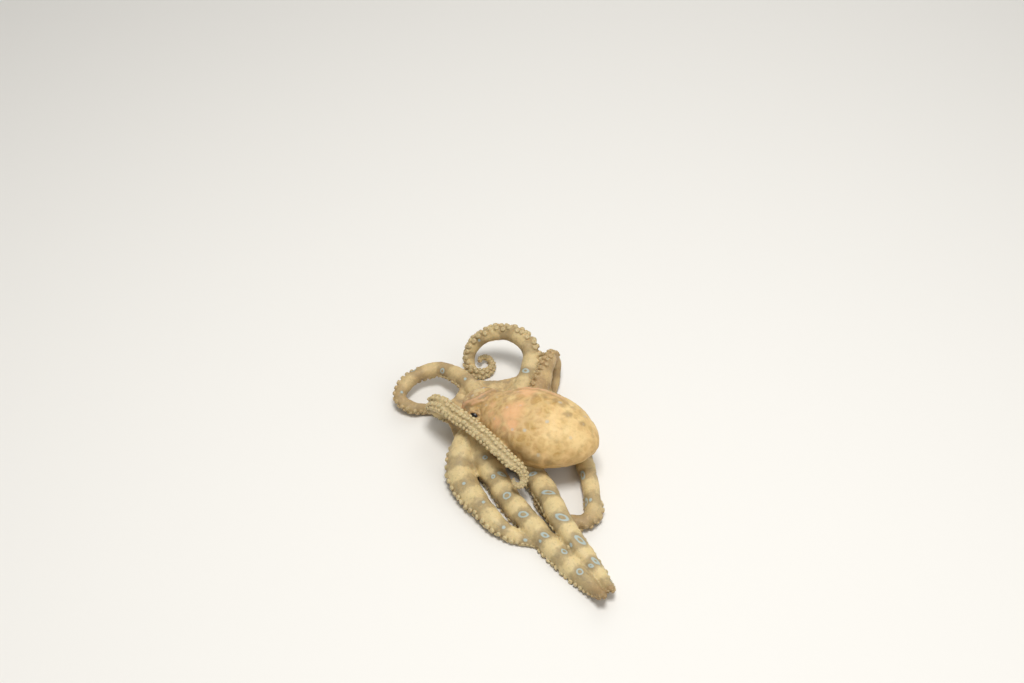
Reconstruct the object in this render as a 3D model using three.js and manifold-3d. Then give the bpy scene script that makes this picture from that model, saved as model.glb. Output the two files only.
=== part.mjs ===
// A life-size southern blue-ringed octopus (Hapalochlaena maculosa), crawling, as a still museum model.
// Millimetres, +Z up. The origin is on the floor under the mouth. The animal's mantle points to +X,
// its head to -X, and its left side to -Y.
import * as THREE from "three";
import { mergeVertices } from "three/addons/utils/BufferGeometryUtils.js";
import Module from "manifold-3d";

const wasm = await Module();
wasm.setup();

const DOWN = [0, 0, -1];

// ---- General sizes
const PART_GAP = 0.3; // between neighbouring pieces
const FLOOR_DIP = 0.35; // how far an arm that lies on the floor is pressed flat by it

// ---- Mantle: an egg with a blunt hind end, widest at its middle
const MANTLE = {
  neck: [2.6, -3, 14.2],
  tip: [35.9, -20.6, 16],
  width: 29,
  height: 22,
  widestAt: 0.4, // share of the way from neck to tip
  pointedness: 0.59, // of the hind end: 0.5 is an ellipse, more is sharper
  neckShare: 0.62, // the neck's width as a share of the greatest width
  neckCap: 0.3, // the rounded front end, as a share of the front half, which lies inside the head
};

// ---- Head: an ellipsoid in line with the mantle's front, with a mound under each eye
const HEAD = {
  centre: [-1.2, 0.6, 12.6],
  radii: [8.6, 7.8, 7.4], // forward, sideways, up
  yaw: 155, // degrees from +X to the way it faces
  roll: 12, // degrees, its left side up
};
const EYE = {
  forward: 1, // from the head's centre
  sideways: 6.7,
  up: 0.9,
  radius: 2.1,
  moundRadius: 3.5,
  moundDepth: 0.9, // how much deeper than the eye's own centre the mound's centre lies
};

// ---- Crown: the ring of flesh round the mouth that the head sits on and the arms grow from
const CROWN = { centre: [0.5, -1.2, 5.8], radii: [11, 10, 6.5] };

// ---- Funnel: the breathing tube, which comes out of the mantle under the left eye
const FUNNEL = {
  root: [0.5, -9, 12.2],
  mouth: [-8.2, -8, 13.4],
  rootRadius: 3,
  mouthRadius: 1.6,
  bore: 0.95,
  boreDepth: 3,
};

// ---- Arms: routes of the centreline, from the crown to the tip. The sucker side faces the direction
// that "oral" gives at each share of the length. Widths are at the base, 40 %, 80 % and the tip.
const ARMS = [
  {
    name: "arm_left_1", // folds back over the crown with its suckers up
    route: [
      [-2.5, -1, 7], [-9.5, 2, 7], [-15.5, 4.6, 8.3], [-19.2, 4, 11.6], [-17.4, 0.6, 15.2],
      [-12.4, -5.2, 16.9], [-6.9, -10.9, 17.8], [-1.9, -16.4, 17.9], [2.7, -21.4, 17.2], [6.7, -25.3, 15.5],
      [10.6, -27.5, 13.5], [11.7, -29, 11.7], [11.2, -31, 10.2], [9.3, -31.8, 10.2], [8, -30.8, 11.3],
      [8.9, -29.6, 12.1],
    ],
    widths: [7.8, 5.9, 4.9, 1.6],
    oral: [[0, DOWN], [0.15, [-0.3, 0, -0.95]], [0.26, [-0.95, 0.2, 0.2]], [0.36, [-0.5, 0.2, 0.85]],
      [0.46, [0, -0.6, 0.8]], [1, [0, -0.6, 0.8]]],
    cuts: [0.17, 0.36, 0.68],
  },
  {
    name: "arm_left_2", // lies along the floor, rolled a little outwards
    route: [
      [-2.5, -4.5, 7.5], [-7, -10.5, 9], [-9, -15.5, 7.2], [-9.4, -21, 4.6], [-6.4, -28, 3.4],
      [-1.6, -35.5, 3.3], [4, -42.5, 2.8], [10, -46.5, 2], [15.5, -48.5, 1.3], [19.5, -50.6, 0.8],
    ],
    widths: [9.6, 9.6, 5, 1.4],
    oral: [[0, DOWN], [0.25, [-0.45, -0.35, -0.8]], [1, [-0.45, -0.35, -0.8]]],
    cuts: [0.36, 0.68],
  },
  {
    name: "arm_left_3", // lies along the floor, its tip curled up
    route: [
      [0, -6, 7.5], [-2, -13, 8], [-0.8, -18, 6], [3, -24, 4.2], [6.7, -31.5, 3.5], [12.1, -39.6, 3.5],
      [17.8, -47.6, 3.3], [23.3, -55, 2.8], [28.6, -61.5, 2.5], [32.5, -67, 3.2], [34.8, -71, 5],
      [35, -73.2, 7.4],
    ],
    widths: [9, 8, 6.4, 2.4],
    oral: [[0, DOWN], [1, DOWN]],
    cuts: [0.34, 0.68],
  },
  {
    name: "arm_left_4", // lies over the fourth right arm
    route: [
      [4.5, -5.5, 7], [10, -12.5, 5], [14.7, -21, 4.6], [19.4, -31.5, 6], [22.9, -42.5, 7.6],
      [28, -51.2, 5.6], [33, -58.4, 2.9], [36.2, -64, 2.5], [37.8, -68, 4.2], [37.6, -70.2, 6.6],
    ],
    widths: [8.6, 7.6, 6, 2.4],
    oral: [[0, DOWN], [1, DOWN]],
    cuts: [0.36, 0.7],
  },
  {
    name: "arm_right_1", // loops out to the front and tucks its tip in under the first left arm
    route: [
      [-1.5, 4, 8], [-5.5, 13.4, 9], [-10.5, 21, 9], [-18, 26.4, 8], [-25.5, 24.7, 7],
      [-30.5, 19.5, 6], [-32, 14.5, 4.6], [-28, 11.5, 3.2], [-22, 11.6, 2.1], [-17, 10, 1.5],
      [-14.5, 7.5, 1.1],
    ],
    widths: [7.5, 5.2, 4.8, 2],
    oral: [[0, DOWN], [0.4, [-0.35, 0.25, -0.9]], [0.66, [-0.9, -0.1, -0.4]],
      [0.8, [-0.2, -0.8, -0.55]], [1, DOWN]],
    cuts: [0.3, 0.54, 0.76],
  },
  {
    name: "arm_right_2", // stands up in a loop with its suckers outwards, its tip coiled on the floor
    route: [
      [5.5, 4, 8], [10.2, 11, 10], [13.2, 18.5, 12], [14.6, 26, 14.5], [11.6, 33, 16], [5, 36.9, 16],
      [-2, 37.6, 13.5], [-6.3, 36.8, 9.4], [-7.9, 34.2, 5.8], [-7.2, 31.4, 3.1], [-3.9, 29.9, 2.1],
      [-0.8, 31.6, 1.8], [0.1, 35.6, 1.8], [-1.8, 38.4, 2.2], [-4.2, 36.6, 3], [-4.2, 34, 3.6],
    ],
    widths: [8, 7.2, 3.9, 1.8],
    oral: [[0, DOWN], [0.14, [0.6, 0, -0.8]], [0.29, [0.9, -0.3, -0.2]], [0.38, [0.7, 0.5, 0.4]],
      [0.48, [0, 0.7, 0.7]], [0.62, [-0.9, 0.3, 0.2]], [0.7, [-0.9, -0.2, -0.3]],
      [0.78, [-0.2, -0.7, -0.7]], [0.86, [0.7, -0.2, -0.7]], [1, [0.3, 0.6, -0.7]]],
    cuts: [0.25, 0.45, 0.62, 0.77],
  },
  {
    name: "arm_right_3", // arches up and folds down behind itself
    route: [
      [10.5, 3, 8], [15.8, 7.5, 12], [18.4, 13.6, 13.6], [19.9, 21.6, 14.2], [21.6, 27.4, 11.8],
      [23.2, 29, 6.8], [22.8, 24.5, 2.6], [22.2, 18.5, 1.4], [21.4, 14.6, 0.8],
    ],
    widths: [8, 7, 4.8, 1.4],
    oral: [[0, DOWN], [0.15, [-0.7, 0.3, -0.5]], [0.3, [-0.9, 0.1, 0.4]], [0.5, [-0.5, 0.5, 0.7]],
      [0.65, [-0.2, 0.95, 0.1]], [0.8, [0, 0.3, -0.95]], [1, DOWN]],
    cuts: [0.34, 0.64],
  },
  {
    name: "arm_right_4", // comes round behind the mantle and turns in under the fourth left arm
    route: [
      [8.5, 1, 7], [17, 7, 4.6], [24.5, 8.5, 3.6], [29.6, 4.5, 3.4], [31.4, -4, 3.2], [32.2, -14, 3.1],
      [33.5, -23, 3.2], [34.2, -31, 3.1], [34, -37.2, 2.9], [31, -40.3, 2.6], [26.4, -39.9, 2.3],
      [21.2, -37.6, 2], [17.3, -33.6, 2], [15.6, -29.6, 2.9],
    ],
    widths: [8.2, 7.4, 5.5, 2.8],
    oral: [[0, DOWN], [0.62, DOWN], [0.74, [0.25, -0.6, -0.75]], [0.84, [0, -0.6, -0.8]], [1, DOWN]],
    cuts: [0.3, 0.55, 0.74],
  },
];
// The length of one facet along an arm, as a share of the arm's width there and between two limits
const ARM_STEP = { share: 0.7, least: 1.6, most: 4.2 };
const ARM_ROUNDED_END = 1.6; // length over which the very tip is rounded off
// The arm's section, in half widths: across the arm, and up towards the side without suckers. The two
// lower corners are the rims of the two rows of suckers.
const ARM_SECTION = [
  [0, 0.92], [0.62, 0.74], [1, 0.14], [0.94, -0.38], [0.58, -0.78],
  [0, -0.62], [-0.58, -0.78], [-0.94, -0.38], [-1, 0.14], [-0.62, 0.74],
];
const LENGTH_NAMES = {
  3: ["base", "middle", "tip"],
  4: ["base", "middle", "outer", "tip"],
  5: ["base", "lower", "middle", "outer", "tip"],
};

// ---- Web: a sheet of skin between each pair of neighbours round the crown, to the given depth along
// each of the two arms. The last figure is how far the free edge is drawn in at its middle, as a share
// of the depth. The second and third right arms lie against each other there, with no room for a sheet.
const WEB_THICKNESS = 1.3;
const WEBS = [
  ["arm_left_1", 17, "arm_left_2", 17, 0.12],
  ["arm_left_2", 24, "arm_left_3", 20, 0.1],
  ["arm_left_3", 20, "arm_left_4", 18, 0.2],
  ["arm_left_4", 14, "arm_right_4", 13, 0.25],
  ["arm_right_4", 19, "arm_right_3", 26, 0.08],
  ["arm_right_2", 19, "arm_right_1", 18, 0.14],
  ["arm_right_1", 18, "arm_left_1", 17, 0.1],
];

// ---- Colours
const COLOURS = {
  mantle: 0xd8bd8c,
  head: 0xcfae82,
  crown: 0xb9a480,
  web: 0xc4b292,
  arm: 0xb8aa8c,
  funnel: 0xd9c7a4,
  eye: 0x2a2722,
};

const vector = (p) => new THREE.Vector3(...p);

// ---- Solids: manifold-3d joins and cuts closed three.js geometries

function bareGeometry(geometry) {
  const bare = geometry.index ? geometry.toNonIndexed() : geometry.clone();
  bare.deleteAttribute("normal");
  bare.deleteAttribute("uv");
  return mergeVertices(bare, 1e-4);
}

// A closed geometry as a solid, turned the right way out if its faces point inwards.
function solidOf(geometry) {
  const merged = bareGeometry(geometry);
  const triVerts = new Uint32Array(merged.index.array);
  const build = () => new wasm.Manifold(new wasm.Mesh({
    numProp: 3,
    vertProperties: merged.attributes.position.array,
    triVerts,
  }));
  const made = build();
  if (made.volume() > 0) return made;
  for (let i = 0; i < triVerts.length; i += 3) {
    [triVerts[i + 1], triVerts[i + 2]] = [triVerts[i + 2], triVerts[i + 1]];
  }
  return build();
}

function geometryOf(solid) {
  const { numProp, numVert, vertProperties, triVerts } = solid.getMesh();
  const positions = new Float32Array(numVert * 3);
  for (let i = 0; i < numVert; i++) {
    positions.set(vertProperties.subarray(i * numProp, i * numProp + 3), i * 3);
  }
  const geometry = new THREE.BufferGeometry();
  geometry.setAttribute("position", new THREE.BufferAttribute(positions, 3));
  geometry.setIndex(new THREE.BufferAttribute(new Uint32Array(triVerts), 1));
  return geometry;
}

const largestBody = (solid) =>
  solid.decompose().reduce((best, body) => (body.volume() > best.volume() ? body : best));

const cutAway = (solid, cutters) => cutters.reduce((left, cutter) => left.subtract(cutter), solid);

// ---- Shapes

// A sphere geometry stretched to an ellipsoid, turned about the vertical.
function ellipsoid(centre, radii, yawDegrees, grow, segments = 18, rings = 11) {
  const [forward, sideways, up] = radii;
  const geometry = new THREE.SphereGeometry(1, segments, rings);
  geometry.rotateX(Math.PI / 2);
  geometry.scale(forward + grow, sideways + grow, up + grow);
  geometry.rotateZ(THREE.MathUtils.degToRad(yawDegrees));
  geometry.translate(...centre);
  return solidOf(geometry);
}

// The point at a distance forward, to one side and up from the head's centre.
function onHead(forward, sideways, up) {
  const yaw = THREE.MathUtils.degToRad(HEAD.yaw);
  const ahead = new THREE.Vector3(Math.cos(yaw), Math.sin(yaw), 0);
  const left = new THREE.Vector3(-Math.sin(yaw), Math.cos(yaw), 0);
  const upward = new THREE.Vector3(0, 0, 1);
  left.applyAxisAngle(ahead, THREE.MathUtils.degToRad(HEAD.roll));
  upward.applyAxisAngle(ahead, THREE.MathUtils.degToRad(HEAD.roll));
  return vector(HEAD.centre)
    .addScaledVector(ahead, forward)
    .addScaledVector(left, sideways)
    .addScaledVector(upward, up);
}

function eyeball(side, grow) {
  const centre = onHead(EYE.forward, side * EYE.sideways, EYE.up);
  const radius = EYE.radius;
  return ellipsoid(centre.toArray(), [radius, radius, radius], HEAD.yaw, grow, 12, 8);
}

function head(grow) {
  const mounds = [1, -1].map((side) => {
    const depth = EYE.moundDepth;
    const centre = onHead(EYE.forward - depth / 2, side * (EYE.sideways - depth), EYE.up - depth);
    const radius = EYE.moundRadius;
    return ellipsoid(centre.toArray(), [radius * 1.15, radius, radius], HEAD.yaw, grow, 11, 7);
  });
  return mounds.reduce((all, mound) => all.add(mound),
    ellipsoid(HEAD.centre, HEAD.radii, HEAD.yaw, grow));
}

// The mantle's radius as a share of its greatest, from -1 - neckCap at the front to 1 at the hind end.
function mantleProfile(u) {
  if (u > 0) return Math.max(0, 1 - u * u) ** MANTLE.pointedness;
  if (u > -1) return 1 - (1 - MANTLE.neckShare) * u * u;
  const intoCap = (-u - 1) / MANTLE.neckCap;
  return MANTLE.neckShare * Math.sqrt(Math.max(0, 1 - intoCap * intoCap));
}

function mantle(grow) {
  const neck = vector(MANTLE.neck);
  const tip = vector(MANTLE.tip);
  const axis = tip.clone().sub(neck);
  const length = axis.length();
  const front = length * MANTLE.widestAt;
  const hind = length - front;
  const radius = MANTLE.width / 2 + grow;
  const start = -1 - MANTLE.neckCap;
  const frontSteps = 7;
  const hindSteps = 8;
  const points = [];
  for (let i = 0; i < frontSteps; i++) {
    const u = start * Math.cos((i / frontSteps) * (Math.PI / 2));
    points.push(new THREE.Vector2(i ? radius * mantleProfile(u) : 0, u * (front + grow)));
  }
  for (let i = 0; i <= hindSteps; i++) {
    const u = Math.sin((i / hindSteps) * (Math.PI / 2));
    points.push(new THREE.Vector2(i < hindSteps ? radius * mantleProfile(u) : 0, u * (hind + grow)));
  }
  const geometry = new THREE.LatheGeometry(points, 20);
  geometry.scale(1, 1, (MANTLE.height / 2 + grow) / radius); // the lathe's Z becomes the mantle's height
  const direction = axis.clone().normalize();
  const across = new THREE.Vector3(0, 0, 1).cross(direction).normalize();
  const up = direction.clone().cross(across);
  const turn = new THREE.Matrix4().makeBasis(across, direction, up);
  geometry.applyMatrix4(turn);
  const middle = neck.clone().addScaledVector(direction, front);
  geometry.translate(middle.x, middle.y, middle.z);
  return solidOf(geometry);
}

// A tapered tube, closed at its root and open for a short bore at its mouth.
function funnel(grow) {
  const root = vector(FUNNEL.root);
  const mouth = vector(FUNNEL.mouth);
  const length = root.distanceTo(mouth);
  const outside = [[0, 0], [FUNNEL.rootRadius + grow, 0], [FUNNEL.mouthRadius + 0.4 + grow, length * 0.6],
    [FUNNEL.mouthRadius + grow, length * 0.93], [FUNNEL.mouthRadius - 0.2 + grow, length]];
  const inside = grow ? [[0, length]]
    : [[FUNNEL.bore, length], [FUNNEL.bore, length - FUNNEL.boreDepth], [0, length - FUNNEL.boreDepth]];
  const profile = [...outside, ...inside].map(([r, y]) => new THREE.Vector2(r, y));
  const geometry = new THREE.LatheGeometry(profile, 12);
  const direction = mouth.clone().sub(root).normalize();
  geometry.applyQuaternion(new THREE.Quaternion().setFromUnitVectors(new THREE.Vector3(0, 1, 0), direction));
  geometry.translate(root.x, root.y, root.z);
  return solidOf(geometry);
}

// The value of [share, value] keys at a share of the length, the value a number or a vector.
function keyed(keys, share) {
  let i = 1;
  while (i < keys.length - 1 && keys[i][0] < share) i++;
  const [fromShare, from] = keys[i - 1];
  const [toShare, to] = keys[i];
  const t = THREE.MathUtils.clamp((share - fromShare) / (toShare - fromShare), 0, 1);
  return Array.isArray(from) ? from.map((x, k) => x + (to[k] - x) * t) : from + (to - from) * t;
}

class Arm {
  constructor({ name, route, widths, oral, cuts }) {
    this.name = name;
    const lowered = route.map(([x, y, z]) => new THREE.Vector3(x, y, z - FLOOR_DIP));
    this.curve = new THREE.CatmullRomCurve3(lowered, false, "centripetal");
    this.length = this.curve.getLength();
    this.widthKeys = [0, 0.4, 0.8, 1].map((share, i) => [share, widths[i]]);
    this.oral = oral;
    this.ends = [0, ...cuts, 1];
    this.stations = cuts.concat(1).flatMap((to, i) => this.sharesBetween(this.ends[i], to).slice(0, -1));
  }

  // The centre, the side direction, the direction away from the suckers and the half width at a share
  // of the length.
  frame(share) {
    const tangent = this.curve.getTangentAt(share);
    const away = vector(keyed(this.oral, share)).negate();
    away.addScaledVector(tangent, -away.dot(tangent)).normalize();
    const toTip = (1 - share) * this.length;
    const rounding = Math.sqrt(THREE.MathUtils.clamp(toTip / ARM_ROUNDED_END, 0.1, 1));
    return {
      centre: this.curve.getPointAt(share),
      side: away.clone().cross(tangent),
      away,
      half: (keyed(this.widthKeys, share) / 2) * rounding,
    };
  }

  // Shares of the length from one to another, closer together where the arm is thinner.
  sharesBetween(from, to) {
    const shares = [from];
    while (shares.at(-1) < to) {
      const wanted = ARM_STEP.share * keyed(this.widthKeys, shares.at(-1));
      const step = THREE.MathUtils.clamp(wanted, ARM_STEP.least, ARM_STEP.most);
      shares.push(shares.at(-1) + step / this.length);
    }
    const stretch = (to - from) / (shares.at(-1) - from);
    return shares.map((share) => from + (share - from) * stretch);
  }

  // The arm between two shares of its length: a cylinder geometry bent along the curve.
  tube(from, to, grow) {
    const sides = ARM_SECTION.length;
    const between = this.stations.filter((share) => share > from && share < to);
    const frames = [from, ...between, to].map((share) => this.frame(share));
    const steps = frames.length - 1;
    const geometry = new THREE.CylinderGeometry(1, 1, 1, sides, steps);
    const position = geometry.attributes.position;
    for (let i = 0; i < position.count; i++) {
      const [x, y, z] = [position.getX(i), position.getY(i), position.getZ(i)];
      const { centre, side, away, half } = frames[Math.round((0.5 - y) * steps)];
      const corner = (Math.round((Math.atan2(x, z) / (2 * Math.PI)) * sides) + sides) % sides;
      const size = Math.hypot(x, z) > 0.5 ? half + grow : 0;
      const [across, up] = ARM_SECTION[corner];
      const point = centre.clone().addScaledVector(side, across * size).addScaledVector(away, up * size);
      position.setXYZ(i, point.x, point.y, point.z);
    }
    return solidOf(geometry);
  }
}

// A sheet between two arms: a box geometry laid between their centrelines, with a drawn-in free edge.
function webSheet(armA, depthA, armB, depthB, scallop) {
  const [across, along] = [3, 4];
  const geometry = new THREE.BoxGeometry(1, 1, 1, across, along, 1);
  const middle = (t, s) => {
    const drawn = s * (1 - scallop * 4 * t * (1 - t));
    const a = armA.curve.getPointAt((depthA * drawn) / armA.length);
    const b = armB.curve.getPointAt((depthB * drawn) / armB.length);
    return a.lerp(b, t);
  };
  const position = geometry.attributes.position;
  const nudge = 0.05;
  for (let i = 0; i < position.count; i++) {
    const t = position.getX(i) + 0.5;
    const s = position.getY(i) + 0.5;
    const acrossStep = middle(Math.min(1, t + nudge), s).sub(middle(Math.max(0, t - nudge), s));
    const alongStep = middle(t, Math.min(1, s + nudge)).sub(middle(t, Math.max(0, s - nudge)));
    const normal = acrossStep.cross(alongStep).normalize();
    const point = middle(t, s).addScaledVector(normal, position.getZ(i) * WEB_THICKNESS);
    position.setXYZ(i, point.x, point.y, point.z);
  }
  return solidOf(geometry);
}

// ---- Assembly

const group = new THREE.Group();

function floorBox() {
  const [size, depth] = [300, 20];
  const geometry = new THREE.BoxGeometry(size, size, depth);
  geometry.translate(0, 0, -depth / 2);
  return solidOf(geometry);
}
const floor = floorBox();

function addPart(name, solid, colour, roughness = 0.5) {
  const material = new THREE.MeshStandardMaterial({ color: colour, roughness, metalness: 0 });
  const mesh = new THREE.Mesh(geometryOf(largestBody(solid.subtract(floor))), material);
  mesh.name = name;
  group.add(mesh);
}

const arms = ARMS.map((spec) => new Arm(spec));
const armNamed = (name) => arms.find((arm) => arm.name === name);
const wholeArms = arms.map((arm) => arm.tube(0, 1, PART_GAP));
const crown = (grow) => ellipsoid(CROWN.centre, CROWN.radii, 0, grow, 18, 9);

const eyesGrown = [eyeball(1, PART_GAP), eyeball(-1, PART_GAP)];
const headGrown = head(PART_GAP);
const mantleGrown = mantle(PART_GAP);
const funnelGrown = funnel(PART_GAP);
const bodyGrown = [headGrown, mantleGrown, funnelGrown];

addPart("eye_left", eyeball(1, 0), COLOURS.eye, 0.15);
addPart("eye_right", eyeball(-1, 0), COLOURS.eye, 0.15);
addPart("head", cutAway(head(0), eyesGrown), COLOURS.head);
addPart("mantle", cutAway(mantle(0), [headGrown]), COLOURS.mantle);
addPart("funnel", cutAway(funnel(0), [headGrown, mantleGrown]), COLOURS.funnel);

// Each arm gives way to the body, the crown and the arms before it.
arms.forEach((arm, i) => {
  const names = LENGTH_NAMES[arm.ends.length - 1];
  const cutters = [...bodyGrown, crown(PART_GAP), ...wholeArms.slice(0, i)];
  const halfGap = PART_GAP / 2 / arm.length;
  names.forEach((name, k) => {
    const from = k ? arm.ends[k] + halfGap : 0;
    const to = k < names.length - 1 ? arm.ends[k + 1] - halfGap : 1;
    addPart(`${arm.name}_${name}`, cutAway(arm.tube(from, to, 0), cutters), COLOURS.arm);
  });
});

addPart("crown", cutAway(crown(0), bodyGrown), COLOURS.crown);

WEBS.forEach(([a, depthA, b, depthB, scallop]) => {
  const sheet = webSheet(armNamed(a), depthA, armNamed(b), depthB, scallop);
  const name = `web_${a}_${b}`.replaceAll("arm_", "");
  const left = cutAway(sheet, [...bodyGrown, crown(PART_GAP), ...wholeArms]);
  addPart(name, left, COLOURS.web);
});

export default group;
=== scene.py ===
"""A life-size southern blue-ringed octopus, crawling over the floor, as a still museum model.

One soft skin covers the mantle, the head, the web and the eight arms. The suckers, one joined piece for
each arm, and the two eyes are separate. Lengths in the tables are millimetres, as in the solids' source.
"""
import math

import bmesh
import bpy
import numpy as np
from mathutils import Matrix, Vector, noise
from mathutils.bvhtree import BVHTree
from mathutils.kdtree import KDTree


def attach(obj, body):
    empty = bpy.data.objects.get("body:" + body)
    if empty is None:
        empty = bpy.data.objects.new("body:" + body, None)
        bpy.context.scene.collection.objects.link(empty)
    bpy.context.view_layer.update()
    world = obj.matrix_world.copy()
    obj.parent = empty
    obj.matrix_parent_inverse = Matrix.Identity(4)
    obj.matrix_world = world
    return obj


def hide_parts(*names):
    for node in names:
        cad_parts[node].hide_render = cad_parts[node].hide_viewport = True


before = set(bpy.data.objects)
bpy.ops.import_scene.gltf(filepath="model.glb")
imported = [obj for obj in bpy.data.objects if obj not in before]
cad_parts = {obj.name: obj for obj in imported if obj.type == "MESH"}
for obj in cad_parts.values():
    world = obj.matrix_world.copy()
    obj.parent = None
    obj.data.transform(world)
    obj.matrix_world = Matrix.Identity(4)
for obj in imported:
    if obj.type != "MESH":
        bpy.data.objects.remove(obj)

bl_info = {
    "name": "Blue-ringed octopus",
    "version": (1, 0, 0),
    "blender": (4, 5, 0),
    "location": "View3D > Sidebar > Octopus",
    "description": "Models the skin, suckers and eyes of a small octopus, and its stage",
    "category": "Object",
}

MM = 0.001
DOWN = (0, 0, -1)
BODY_HALF = 10 * MM  # stands for half the width on the body, where no arm gives one
SEARCH_CHUNK = 4000  # points compared at once with an arm's centreline, to spare memory
MERGE_WITHIN = 0.002 * MM  # points of a shell nearer together than this are one
PRESS_REACH = 6 * MM  # an arm isn't pressed flat by flesh further from it than this
EVERYWHERE_ELSE = 9  # stored where a ring's or a spot's distance is too great to matter

# ---- Arms. The route is the centreline from the crown to the tip, the widths are at the base, 40 %,
# 80 % and the tip, and "oral" gives the way the suckers face at each share of the length. "flesh" is the
# skin's share of the width, the suckers making up the rest, and "tan" how brown it is, partly
# its own tone and partly painted shade where the arm lies in shadow. "rows" is the outer suckers' place
# round the arm at its base and its end, in degrees from its back, and "sucker_size" their size beside the
# other arms'. "brown" is the share of the length from which the tip is brown, how brown it is there, and
# how dark the painted shade in the gaps between the suckers is. "bands" are the middles of the grey bands
# along the arm, and "rings" are (distance, degrees from the arm's back, radius across, radius along, and
# for a slanting ring the degrees that it is turned by).
FLOOR_DIP = 0.35  # how far an arm that lies on the floor is pressed flat by it
WIDTH_SHARES = (0, 0.4, 0.8, 1)
FLESH_SHARE = 0.25  # share of the length from which an arm has its own "flesh"
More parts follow.
